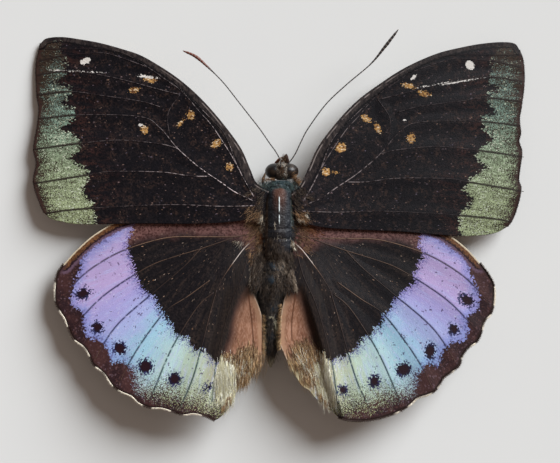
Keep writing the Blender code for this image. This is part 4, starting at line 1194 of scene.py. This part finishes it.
RIGHT_OCHRE_FLECKS = [
    (22.7, 24.4, 1.2, 0.42, -12), (25.4, 23.0, 1.1, 0.45, -20), (15.2, 18.6, 0.85, 0.5, -30),
    (17.2, 16.9, 0.9, 0.5, -60), (23.0, 15.2, 0.7, 0.85, 0), (10.8, 13.5, 0.9, 0.75, 35),
    (8.2, 9.3, 0.7, 0.65, 0), (9.6, 9.2, 0.5, 0.2, 0),
]


def forewing_height(plan):
    """The wing droops from its root to its outer margin, and more towards its tip."""
    out = np.abs(plan[:, 0]) / FOREWING_REACH
    forward = np.clip((plan[:, 1] - FRONT_START) / FRONT_LENGTH, 0, 1)
    droop = FOREWING_DROOP * out**1.5 + FRONT_DROOP * out * forward
    return FOREWING_ROOT_HEIGHT - droop + ripple(plan)


def forewing_values(points, side):
    """What the finish needs at each point: the polar place, and distances to the parts of the pattern."""
    if side < 0:
        edges, band, white, ochre = LEFT_FOREWING, LEFT_BAND, LEFT_WHITE_FLECKS, LEFT_OCHRE_FLECKS
    else:
        edges, band, white, ochre = RIGHT_FOREWING, RIGHT_BAND, RIGHT_WHITE_FLECKS, RIGHT_OCHRE_FLECKS
    veins = on_side(side, FOREWING_VEINS, FOREWING_MARKS)
    fan, _ = fan_place(points, np.array(FOREWING_FAN) * (-side, 1), side)
    return {
        "fan": fan * (1, 3, 1),
        # painted shade, which darkens the right wing where it slopes towards the lamp
        "dull": painted_shade_share(points, side),
        "band": beyond(points, band, [(0, -4), (0, 36)]),
        "white": inside_ovals(points, white),
        "ochre": inside_ovals(points, ochre),
        "rim": distance_to(points, through(edges["outer"], 100)),
        "costa": distance_to(points, through(edges["front"], 100)),
        "vein": np.min([distance_to(points, through(v, 30)) for v in veins], axis=0),
    }


def forewing_finish():
    """The upper side: the band is green scales among dark ones, fewer towards the margin and the tip."""
    made, paint, inputs = finish("forewing scales", 0.55, 0.12)
    fan = paint.attribute("fan", "Vector")
    at = paint.place()
    mosaic = scales(paint, fan, 0.28, 0.11)
    first, second, third = mosaic["First"], mosaic["Second"], mosaic["Third"]
    band, white, ochre = (paint.attribute(name) for name in ("band", "white", "ochre"))
    rim, costa, vein = (paint.attribute(name) for name in ("rim", "costa", "vein"))
    ridge, pale = (paint.attribute(name) for name in ("ridge", "pale"))
    up = paint.part(at, 1)
    clouds = paint.noise(at, 2.4, 3.0, 2.0)
    streaks = paint.noise(paint.stretch(fan, 0.15, 1.0, 1.0), 0.5, 3.0)

    grit = paint.noise(at, 0.32, 3.0, 12.0)
    ground = paint.mix(paint.rise(clouds, 0.36, 0.64), srgb(23, 20, 25), srgb(35, 30, 33))
    ground = paint.mix(paint.rise(grit, 0.34, 0.7), srgb(14, 13, 18), ground)
    dust = paint.rise(paint.noise(at, 1.3, 4.0, 8.0), 0.46, 0.68)
    ground = paint.mix(dust * paint.rise(grit, 0.42, 0.62), ground, srgb(56, 42, 38))
    reddish = paint.rise(band, -8.0, 0.0) * paint.rise(streaks, 0.42, 0.64)
    reddish = reddish * paint.rise(grit, 0.36, 0.6)
    ground = paint.mix(reddish * 0.6, ground, srgb(70, 42, 37))
    bloom = paint.rise(first, 0.955, 0.995) * paint.rise(grit, 0.46, 0.6)
    ground = paint.mix(bloom, ground, paint.mix(third, srgb(96, 88, 104), srgb(132, 104, 86)))

    green = paint.ramp(paint.rise(up, 0.0, 30.0), [
        (0.0, srgb(190, 202, 158)),
        (0.35, srgb(168, 186, 154)),
        (0.7, srgb(142, 170, 156)),
        (1.0, srgb(122, 146, 140)),
    ])
    green = paint.mix(second * 0.6, green, srgb(72, 80, 58))
    green = paint.mix(paint.rise(first, 0.84, 0.96), green, srgb(206, 214, 190))
    green = paint.mix(paint.rise(paint.noise(at, 0.2, 2.0, 21.0), 0.58, 0.7), green, srgb(66, 66, 50))
    cover = paint.rise(rim, 0.2, 3.4) * paint.rise(up, 31.5, 24.0)
    lower_share = paint.rise(up, 31.0, 10.0) * 0.26
    cover = cover * 0.42 + lower_share
    cover = ragged(paint, cover, (streaks, 1.1), (clouds, 0.5))
    dots = paint.rise(paint.noise(at, 0.14, 2.0, 41.0), 0.3, 0.7)
    has_green = paint.rise(cover - dots, -0.06, 0.06)
    in_band = paint.rise(ragged(paint, band, (first, 0.9), (streaks, 2.4)), -0.08, 0.08)
    margin = paint.mix(second, srgb(36, 29, 27), srgb(66, 52, 42))
    colour = paint.mix(in_band, ground, paint.mix(has_green, margin, green))
    rim_dark = paint.rise(ragged(paint, rim, (first, 0.5)), 0.75, 0.35)
    colour = paint.mix(rim_dark, colour, srgb(58, 40, 36))

    fleck_noise = paint.noise(at, 0.3, 2.0, 4.0)
    in_ochre = paint.rise(ragged(paint, ochre, (first, 0.3), (fleck_noise, 1.0)), -0.05, 0.05)
    fleck_share = paint.rise(paint.noise(at, 0.4, 3.0, 6.0), 0.36, 0.56)
    fleck = paint.mix(fleck_share, srgb(94, 58, 38), srgb(188, 144, 86))
    fleck = paint.mix(paint.rise(second, 0.8, 0.95), fleck, srgb(226, 206, 178))
    colour = paint.mix(in_ochre, colour, fleck)
    in_white = paint.rise(ragged(paint, white, (first, 0.2), (fleck_noise, 0.5)), -0.04, 0.04)
    colour = paint.mix(in_white, colour, srgb(232, 226, 220))

    rubbed = paint.rise(paint.noise(at, 0.6, 4.0, 15.0), 0.42, 0.58)
    rubbed = rubbed * pale * 1.2
    vein_dark = paint.mix(in_band, srgb(36, 29, 32), srgb(52, 38, 36))
    colour = paint.mix(ridge, colour, paint.mix(rubbed, vein_dark, srgb(196, 180, 180)))
    seam = paint.rise(vein, 0.3, 0.1) * in_band
    colour = paint.mix(seam * 0.8, colour, srgb(42, 33, 31))
    # Painted sheen: a lighter, streaky grey-brown band along the front edge, widest near the root, with a
    # dark line along its inner side
    width = paint.rise(up, 34.0, 8.0) * 0.7
    inward = ragged(paint, costa - width, (second, 0.2), (clouds, 0.4))
    costa_sheen = paint.rise(inward, 0.85, 0.6) * paint.rise(up, 6.0, 9.5)
    costa_sheen_streaks = paint.noise(paint.stretch(at, 1.0, 0.5, 1.0), 0.4, 4.0, 17.0)
    costa_sheen_colour = paint.mix(paint.rise(costa_sheen_streaks, 0.38, 0.62), srgb(34, 29, 31), srgb(62, 54, 52))
    colour = paint.mix(costa_sheen, colour, costa_sheen_colour)
    groove = paint.rise(abs(inward - 0.95), 0.2, 0.05)
    colour = paint.mix(groove, colour, srgb(16, 14, 17))
    # Painted shade: the right wing darkened towards black by the share kept at its corners
    colour = paint.mix(paint.attribute("dull"), colour, (0.0, 0.0, 0.0))
    edge_line = paint.rise(abs(costa - 0.42), 0.13, 0.04)
    edge_line = edge_line * paint.rise(paint.noise(at, 1.6, 3.0, 19.0), 0.42, 0.6)
    edge_line = edge_line * paint.rise(up, 30.0, 23.0)
    colour = paint.mix(edge_line * 0.7, colour, srgb(150, 138, 134))
    paint.join(colour, inputs["Base Color"])
    paint.join(paint.relief(mosaic["Height"], 0.03, 0.7), inputs["Normal"])
    return made


FOREWING_GRID = (190, 236)
FOREWINGS = ((-1, "left_", LEFT_FOREWING), (1, "right_", RIGHT_FOREWING))
forewing_upper = forewing_finish()
forewing_under = underside_finish("forewing underside", srgb(128, 104, 82), srgb(160, 140, 116))
forewing_skins = [forewing_upper, forewing_under]
for side, side_name, edges in FOREWINGS:
    name = side_name + "forewing"
    wing = membrane(name, side, edges, FOREWING_GRID, forewing_height, forewing_values, forewing_skins)
    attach(wing, "root")
    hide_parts(name)
    veins = on_side(side, FOREWING_VEINS, FOREWING_MARKS)
    rubbed = FOREWING_PALENESS[side]
    like = (FOREWING_VEIN_RADII, forewing_height, forewing_values, forewing_upper, rubbed)
    tubes = vein_piece(name, side, veins, *like)
    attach(tubes, "root")

# Body hair: fine horny hair grows from the thorax and the wing roots in locks. It is dark between the
# plates, golden brown to orange at the wing roots, cream in small tufts, and teal-green on the collar.
LOCK = 0.28
HAIR_STEPS = np.array([0.0, 0.4, 0.75])
HAIR_TAPER = np.array([1.0, 0.8, 0.45])
HAIR_CORNERS = 10
THORAX_ABOVE_WINGS = 6.4
FOREWING_HIND_Y = 0.9


def body_top(stations, plan):
    """The height of the body's upper surface at each point, and of its middle beyond its sides."""
    order = np.asarray(stations)[::-1]
    x, z, half_width, half_height = (np.interp(plan[:, 1], order[:, 0], order[:, k]) for k in range(1, 5))
    across = np.clip((plan[:, 0] - x) / half_width, -1, 1)
    return z + half_height * np.sqrt(1 - across**2)


def root_ground(plan):
    """The thorax where it stands above the wings, and elsewhere the wing that is uppermost."""
    top = body_top(THORAX, plan)
    left, right = (hindwing_height(plan, fold) for fold in (LEFT_FOLD, RIGHT_FOLD))
    hindwing = np.where(plan[:, 0] < 0, left, right)
    wing = np.where(plan[:, 1] > FOREWING_HIND_Y, forewing_height(plan), hindwing)
    return np.where(top > THORAX_ABOVE_WINGS, top, wing)


def spikes(roots, directions, bends, widths, tones):
    """Closed three-sided hairs. Each follows root + t direction + t squared bend for t from 0 to 1, and
    narrows to a point. The values are a tone for each hair and the share of its length."""
    t = HAIR_STEPS[None, :, None]
    spine = roots[:, None] + t * directions[:, None] + t * t * bends[:, None]
    ahead = directions / np.linalg.norm(directions, axis=1)[:, None]
    sideways = np.cross(ahead, (0.23, 0.11, 0.96))
    sideways /= np.linalg.norm(sideways, axis=1)[:, None]
    upward = np.cross(sideways, ahead)
    angle = (np.arange(3) * 2 * math.pi / 3)[None, :, None]
    spokes = np.cos(angle) * sideways[:, None] + np.sin(angle) * upward[:, None]
    radius = widths[:, None, None, None] * HAIR_TAPER[None, :, None, None]
    rings = (spine[:, :, None] + spokes[:, None] * radius).reshape(len(roots), 9, 3)
    tip = roots + directions + bends
    corners = np.concatenate([rings, tip[:, None]], axis=1).reshape(-1, 3)
    first = (np.arange(len(roots)) * HAIR_CORNERS)[:, None, None]
    side = np.arange(3)
    after = (side + 1) % 3
    lower, upper = (np.column_stack([side + k, after + k, after + k + 3, side + k + 3]) for k in (0, 3))
    quads = (first + np.vstack([lower, upper])).reshape(-1, 4)
    ends = np.vstack([np.column_stack([side + 6, after + 6, np.full(3, 9)]), [[2, 1, 0]]])
    reach = np.tile([*np.repeat(HAIR_STEPS, 3), 1.0], len(roots))
    values = {"tone": np.repeat(tones, HAIR_CORNERS), "reach": reach}
    return corners, [quads, (first + ends).reshape(-1, 3)], values


def tufts(patches, ground, seed):
    """Hairs scattered along short lines, one line for each patch: its two ends, its spread, its count,
    the way that its hairs point, their length and their half width. Neighbours lean together."""
    chance = np.random.default_rng(seed)
    parts = [[], [], [], [], []]
    for x0, y0, x1, y1, spread, count, dx, dy, dz, length, width in patches:
        share = chance.random(count)[:, None]
        plan = (1 - share) * (x0, y0) + share * (x1, y1) + spread * chance.normal(0, 0.5, (count, 2))
        _, lock = np.unique(np.floor(plan / LOCK), axis=0, return_inverse=True)
        lock = lock.ravel()
        lean = chance.normal(0, 0.26, (lock.max() + 1, 3))[lock] + chance.normal(0, 0.13, (count, 3))
        lean /= max(1.0, length)
        way = np.array([dx, dy, dz]) / math.hypot(dx, dy, dz) + lean
        far = length * (0.45 + 0.7 * chance.random(count))[:, None]
        tone = (chance.random(lock.max() + 1)[lock] * 0.4 + chance.random(count) * 0.6) ** 1.4
        sag = np.array([0.0, 0.0, -0.25]) + chance.normal(0, 0.12, (count, 3)) - lean * 0.5
        for part, value in zip(parts, (
            np.column_stack([plan, ground(plan) - 0.05]),
            way * far,
            sag * far,
            np.full(count, width),
            tone,
        )):
            part.append(value)
    return spikes(*(np.concatenate(part) for part in parts))


def hair_piece(name, hairs, dark, light):
    """One material and one piece for hairs that share a colour."""
    made, paint, inputs = finish(name.replace("_", " "), 0.5, 0.25)
    share = paint.attribute("reach") * 0.35
    share = paint.rise(paint.attribute("tone") + share, 0.15, 1.0)
    paint.join(paint.mix(share, dark, light), inputs["Base Color"])
    paint.join(paint.rise(paint.attribute("reach"), -1.2, 1.6), inputs["Roughness"])
    corners, faces, values = hairs
    piece = add_piece(name, corners, faces, [made], values)
    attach(piece, "root")


# Each patch: the two ends of its line, its spread, its count, its hairs' direction, length and half width
collar_hair = [
    (-3.0, 7.1, 3.2, 7.2, 0.7, 700, 0.0, -1.0, 0.35, 0.6, 0.035),
    (-2.6, 6.4, 2.6, 6.4, 0.5, 350, 0.0, -1.0, 0.3, 0.5, 0.03),
]
hair_piece("collar_hair", tufts(collar_hair, root_ground, 1), srgb(22, 34, 42), srgb(88, 104, 100))
dark_hair = [
    (-3.0, 5.6, -3.1, -4.2, 0.7, 1300, -0.6, -0.7, 0.5, 0.9, 0.02),
    (2.8, 5.6, 2.9, -4.4, 0.7, 1300, 0.6, -0.7, 0.5, 0.9, 0.02),
    (-1.4, -2.2, 1.0, -5.6, 1.0, 1100, 0.0, -0.9, 0.15, 0.9, 0.024),
    (-3.3, -4.6, -4.1, -10.6, 0.9, 1900, -0.3, -0.9, 0.3, 1.3, 0.028),
    (1.6, -4.8, 1.3, -11.0, 0.8, 1500, 0.3, -0.9, 0.3, 1.1, 0.028),
    (-1.0, -4.0, -1.2, -11.5, 2.2, 2600, 0.0, -0.9, 0.35, 1.0, 0.025),
    (-5.6, 5.2, -3.4, 6.4, 0.6, 260, -0.8, -0.4, 0.3, 1.0, 0.03),
    (5.4, 4.6, 3.2, 6.2, 0.6, 260, 0.8, -0.4, 0.3, 1.0, 0.03),
]
hair_piece("dark_body_hair", tufts(dark_hair, root_ground, 2), srgb(20, 19, 22), srgb(108, 92, 80))
golden_hair = [
    (-4.3, 3.0, -4.2, -4.0, 1.4, 700, -0.75, -0.6, 0.6, 1.2, 0.02),
    (-3.5, 2.2, -3.3, -4.4, 0.6, 600, -0.4, -0.8, 0.9, 1.0, 0.02),
    (-4.9, -4.3, -4.5, -5.8, 0.5, 260, -0.3, -0.9, 0.3, 1.2, 0.03),
    (3.6, 3.2, 4.3, -4.6, 1.4, 700, 0.75, -0.6, 0.5, 1.2, 0.02),
    (2.7, 2.3, 4.4, 0.8, 0.5, 300, 0.5, -0.5, 0.6, 1.0, 0.035),
    (2.2, 8.6, 3.3, 7.1, 0.4, 200, 0.5, 0.2, 0.5, 0.9, 0.03),
    (-2.7, 7.9, -0.6, 7.8, 0.2, 160, -0.2, 0.4, 0.5, 0.5, 0.03),
]
golden_tufts = tufts(golden_hair, root_ground, 3)
hair_piece("golden_root_hair", golden_tufts, srgb(38, 28, 24), srgb(190, 150, 112))
orange_hair = [
    (-3.1, -0.8, -3.1, -2.8, 0.35, 300, -0.3, -0.9, 0.9, 1.0, 0.024),
    (3.9, 0.4, 6.0, -1.3, 0.9, 340, 0.7, -0.7, 0.25, 1.3, 0.025),
    (6.0, -0.8, 7.0, -2.2, 0.7, 160, 0.8, -0.5, 0.15, 1.2, 0.025),
]
orange_tufts = tufts(orange_hair, root_ground, 4)
hair_piece("orange_root_hair", orange_tufts, srgb(50, 31, 25), srgb(170, 112, 78))
cream_hair = [
    (-3.1, 1.9, -3.0, -0.8, 0.3, 420, -0.2, -0.9, 0.8, 0.9, 0.022),
    (-2.8, 0.6, 2.6, -4.8, 1.6, 110, 0.0, -0.9, 0.1, 0.5, 0.018),
    (3.1, 1.4, 4.1, 0.7, 0.3, 160, 0.5, -0.6, 0.5, 0.9, 0.035),
    (4.4, 2.2, 4.5, 1.4, 0.15, 60, 0.7, -0.4, 0.4, 0.8, 0.035),
    (2.2, -2.8, 2.9, -4.0, 0.3, 170, 0.2, -0.9, 0.4, 0.9, 0.035),
    (-0.85, 0.9, -0.6, -0.6, 0.14, 90, 0.05, -0.95, 0.1, 0.7, 0.018),
    (-0.6, -0.4, 0.1, -1.9, 0.3, 120, 0.15, -0.95, 0.1, 0.7, 0.018),
    (-1.8, -6.4, -1.2, -8.4, 0.2, 60, -0.1, -0.9, 0.4, 0.6, 0.035),
    (-7.6, -2.4, -5.9, -3.2, 0.5, 60, -0.7, -0.7, 0.3, 1.1, 0.014),
    (-4.6, -5.4, -4.4, -5.9, 0.12, 40, -0.2, -0.9, 0.3, 0.7, 0.03),
]
cream_tufts = tufts(cream_hair, root_ground, 5)
hair_piece("cream_root_hair", cream_tufts, srgb(140, 118, 88), srgb(250, 244, 230))
grey_hair = [
    (-3.3, -2.8, -3.3, -4.5, 0.35, 240, -0.2, -0.9, 0.4, 1.0, 0.02),
    (-5.1, -6.6, -5.0, -10.4, 0.14, 120, -0.3, -0.9, 0.3, 0.6, 0.018),
    (-2.0, -5.4, -0.6, -9.4, 1.5, 700, 0.0, -0.9, 0.5, 0.6, 0.022),
    (0.2, -5.8, 1.7, -8.6, 0.8, 420, 0.2, -0.9, 0.4, 0.8, 0.022),
    (-3.6, -6.0, -4.2, -10.0, 0.9, 260, -0.2, -0.9, 0.4, 0.8, 0.018),
    (2.1, -7.4, 2.9, -11.2, 0.3, 420, 0.3, -0.9, 0.25, 0.9, 0.02),
]
hair_piece("grey_root_hair", tufts(grey_hair, root_ground, 6), srgb(84, 70, 60), srgb(206, 188, 168))

# Head hair: stiff pale bristles stand between the eyes and on the palps, each in a socket of its own in
# the chitin, over short brown scales that lie forward.
head_hair = [
    (0.1, 10.4, 0.9, 10.0, 0.35, 44, 0.1, 0.9, 0.5, 1.0, 0.025),
    (0.7, 9.1, 1.3, 8.4, 0.3, 60, 0.1, 0.5, 0.8, 0.4, 0.025),
    (0.3, 11.2, 0.2, 11.5, 0.15, 12, 0.4, 0.8, 0.3, 0.7, 0.025),
]
brow_hair = [
    (0.2, 10.2, 0.8, 8.6, 0.4, 340, 0.0, 0.7, 0.6, 0.5, 0.025),
    (0.5, 10.8, 1.0, 11.8, 0.4, 300, 0.1, 0.9, 0.3, 0.5, 0.025),
]


def head_ground(plan):
    """The upper surface of the head's ellipsoid."""
    across = (plan[:, 0] - HEAD_CENTRE[0]) / HEAD_RADII[0]
    along = (plan[:, 1] - HEAD_CENTRE[1]) / HEAD_RADII[1]
    return HEAD_CENTRE[2] + HEAD_RADII[2] * np.sqrt(np.clip(1 - across**2 - along**2, 0, 1))


bristles = tufts(head_hair, head_ground, 7)
hair_piece("head_bristles", bristles, srgb(150, 138, 124), srgb(238, 234, 226))
hair_piece("brow_hair", tufts(brow_hair, head_ground, 8), srgb(38, 28, 24), srgb(112, 84, 62))

# Abdomen hair: sparse dark down lies back along the rings, with a pale fuzz along either side, a short
# cream tuft across the middle and a small pale fan at the tip.
down_hair = [
    (-0.8, -6.4, -1.5, -14.0, 2.2, 2200, 0.0, -1.0, 0.22, 0.8, 0.022),
    (-1.5, -14.0, -1.45, -23.0, 1.2, 1700, 0.0, -1.0, 0.2, 0.8, 0.02),
]
fuzz_hair = [
    (-2.6, -18.2, -2.2, -22.8, 0.35, 260, -0.55, -0.8, 0.25, 0.9, 0.016),
    (-0.9, -16.2, -0.3, -21.0, 0.35, 420, 0.6, -0.75, 0.25, 1.0, 0.016),
    (-1.9, -15.8, -0.8, -15.9, 0.15, 40, 0.0, -0.9, 0.4, 0.5, 0.035),
    (-1.8, -23.2, -1.4, -23.8, 0.2, 70, 0.1, -1.0, 0.1, 0.8, 0.025),
]


def abdomen_ground(plan):
    """The upper surface of the abdomen."""
    return body_top(ABDOMEN, plan)


hair_piece("abdomen_down", tufts(down_hair, abdomen_ground, 9), srgb(20, 18, 19), srgb(108, 98, 90))
fuzz = tufts(fuzz_hair, abdomen_ground, 10)
hair_piece("abdomen_fuzz", fuzz, srgb(110, 104, 88), srgb(206, 198, 172))

# Tail hair: the troughs beside the abdomen end in tangled brown and cream tufts, and long cream hair
# covers the hindwing's tail outside them.
LEFT_BROWN_TAIL = [
    (-5.3, -22.4, -5.6, -24.0, 2.0, 1900, -0.12, -1.0, 0.1, 2.2, 0.026),
    (-5.8, -24.6, -6.6, -26.8, 1.1, 1100, -0.1, -1.0, 0.06, 2.0, 0.026),
    (-9.4, -22.6, -8.0, -23.2, 0.8, 500, 0.0, -1.0, 0.12, 1.2, 0.024),
    (-8.4, -29.6, -9.8, -31.8, 0.4, 300, 0.0, -1.0, 0.05, 1.3, 0.024),
    (-2.9, -15.5, -2.9, -22.5, 0.1, 600, 0.9, -0.5, 0.05, 0.7, 0.015),
]
LEFT_CREAM_TAIL = [
    (-9.0, -24.0, -9.4, -26.4, 1.7, 2300, 0.04, -1.0, 0.1, 2.6, 0.024),
    (-9.3, -26.6, -9.7, -30.2, 1.4, 1700, -0.04, -1.0, 0.06, 2.2, 0.022),
    (-5.4, -22.6, -6.2, -25.6, 1.4, 260, -0.12, -1.0, 0.14, 2.0, 0.02),
]
RIGHT_BROWN_TAIL = [
    (3.9, -21.8, 4.4, -23.4, 2.0, 2000, 0.3, -1.0, 0.1, 2.2, 0.026),
    (4.6, -24.2, 5.6, -26.8, 1.1, 1200, 0.3, -1.0, 0.06, 2.2, 0.026),
    (6.0, -22.6, 7.6, -23.2, 0.8, 500, 0.0, -1.0, 0.12, 1.2, 0.024),
    (6.8, -29.2, 8.6, -31.0, 0.4, 300, 0.1, -1.0, 0.05, 1.3, 0.024),
    (0.4, -13.6, 0.3, -21.5, 0.1, 700, -0.9, -0.5, 0.05, 0.8, 0.015),
]
RIGHT_CREAM_TAIL = [
    (7.6, -23.8, 7.9, -26.4, 1.7, 2300, 0.05, -1.0, 0.1, 2.6, 0.024),
    (8.0, -26.6, 8.9, -30.0, 1.4, 1700, 0.1, -1.0, 0.06, 2.2, 0.022),
    (3.8, -21.8, 5.2, -25.4, 1.4, 300, 0.3, -1.0, 0.14, 2.0, 0.02),
]
for side_name, fold, brown, cream, seed in (
    ("left_", LEFT_FOLD, LEFT_BROWN_TAIL, LEFT_CREAM_TAIL, 11),
    ("right_", RIGHT_FOLD, RIGHT_BROWN_TAIL, RIGHT_CREAM_TAIL, 13),
):
    def tail_ground(plan):
        return hindwing_height(plan, fold) + MEMBRANE

    brown_tufts = tufts(brown, tail_ground, seed)
    hair_piece(side_name + "brown_tail_hair", brown_tufts, srgb(80, 52, 36), srgb(210, 176, 132))
    pale_tufts = tufts(cream, tail_ground, seed + 1)
    pale_name = side_name + "cream_tail_hair"
    hair_piece(pale_name, pale_tufts, srgb(206, 198, 158), srgb(255, 255, 248))

# Fringes: a comb of hair-like scales stands out from each outer margin. It is white in the hollow of each
# scallop of the hindwing and brown at the vein ends, and dark and short on the forewing.
CRESCENTS = [
    [(-39.2, -10.4), (-38.9, -13.0)], [(-38.3, -15.2), (-37.1, -17.4)], [(-35.4, -20.2), (-33.4, -22.7)],
    [(-31.9, -25.0), (-29.2, -27.8)], [(-27.8, -29.0), (-25.4, -29.9)], [(-25.2, -30.0), (-24.0, -31.1)],
    [(-21.9, -31.8), (-19.1, -32.1)], [(-16.3, -32.8), (-13.7, -32.8)],
]
# A place far from every margin, for a fringe with no white in it
NO_CRESCENT = [(0, 80), (0, 81)]
FRINGE_HALF_WIDTH = 0.032


def fringe(margin, crescents, height, count, length, seed):
    """Hairs square to a margin, pointing away from the wing, their tone high beside a crescent."""
    chance = np.random.default_rng(seed)
    line = through(margin, count)
    ahead = np.gradient(line, axis=0)
    ahead /= np.linalg.norm(ahead, axis=1)[:, None]
    square = np.column_stack([ahead[:, 1], -ahead[:, 0]])
    square *= np.sign(np.sum(square * (line - (0, 5)), axis=1))[:, None]
    far = length * (0.7 + 0.5 * chance.random(count))[:, None]
    way = np.column_stack([square, np.full(count, -0.1)]) + chance.normal(0, 0.16, (count, 3))
    level = chance.uniform(-0.06, 0.06, count)
    roots = np.column_stack([line - square * 0.05, height(line) + level])
    near = np.min([distance_to(line, crescent) for crescent in crescents], axis=0)
    tones = np.clip((0.5 - near) * 3, 0, 1) * 0.85 + 0.15 * chance.random(count)
    return spikes(roots, way * far, np.zeros((count, 3)), np.full(count, FRINGE_HALF_WIDTH), tones)


for side, side_name, edges, fold in HINDWINGS:
    def fringe_height(plan):
        return hindwing_height(plan, fold)

    crescents = on_side(side, CRESCENTS, HINDWING_MARKS)
    hairs = fringe(edges["outer"], crescents, fringe_height, count=2600, length=0.34, seed=20 + side)
    hair_piece(side_name + "hindwing_fringe", hairs, srgb(58, 40, 34), srgb(240, 230, 214))
for side, side_name, edges in FOREWINGS:
    hairs = fringe(edges["outer"], [NO_CRESCENT], forewing_height, count=1500, length=0.2, seed=30 + side)
    hair_piece(side_name + "forewing_fringe", hairs, srgb(46, 32, 28), srgb(96, 74, 62))

# The table, the light and the camera: a plain pale board, one soft lamp up and to the right, a weak
# warm light from all round, and a long lens straight over the specimen.
FLOOR_HALF = 600.0
IMAGE_WIDTH = 98.0
IMAGE_CENTRE = (0.16, -1.07)
WING_HEIGHT = 4.0
LENS = 150.0
SENSOR = 36.0
LAMP_AZIMUTH = math.radians(43)
LAMP_HEIGHT = math.radians(28)
LAMP_SPREAD = math.radians(38)
LAMP_STRENGTH = 5.8
ROOM_STRENGTH = 0.2

floor_finish, paint, inputs = finish("pale board", 0.85, 0.1)
grain = paint.noise(paint.place(), 12.0, 2.0)
paint.join(paint.mix(grain, srgb(220, 220, 220), srgb(222, 222, 221)), inputs["Base Color"])
floor_corners = np.array([[-1, -1, 0], [1, -1, 0], [1, 1, 0], [-1, 1, 0]]) * FLOOR_HALF * (1, 1, 0)
floor_mesh = bpy.data.meshes.new("board")
floor_mesh.from_pydata((floor_corners * MM).tolist(), [], [(0, 1, 2, 3)])
floor_mesh.materials.append(floor_finish)
floor = bpy.data.objects.new("board", floor_mesh)
bpy.context.scene.collection.objects.link(floor)

lamp = bpy.data.lights.new("lamp", "SUN")
lamp.energy = LAMP_STRENGTH
lamp.color = (0.94, 0.98, 1.0)
lamp.angle = LAMP_SPREAD
lamp_object = bpy.data.objects.new("lamp", lamp)
lamp_object.rotation_euler = (0, math.pi / 2 - LAMP_HEIGHT, LAMP_AZIMUTH)
bpy.context.scene.collection.objects.link(lamp_object)
world = bpy.data.worlds.new("room")
world.use_nodes = True
world.node_tree.nodes["Background"].inputs["Color"].default_value = (1.0, 0.8, 0.68, 1.0)
world.node_tree.nodes["Background"].inputs["Strength"].default_value = ROOM_STRENGTH
bpy.context.scene.world = world

camera = bpy.data.cameras.new("camera")
camera.lens = LENS
camera.sensor_width = SENSOR
camera_object = bpy.data.objects.new("camera", camera)
above = IMAGE_WIDTH * LENS / SENSOR + WING_HEIGHT
camera_object.location = (IMAGE_CENTRE[0] * MM, IMAGE_CENTRE[1] * MM, above * MM)
bpy.context.scene.collection.objects.link(camera_object)
bpy.context.scene.camera = camera_object
bpy.context.scene.view_settings.view_transform = "Standard"
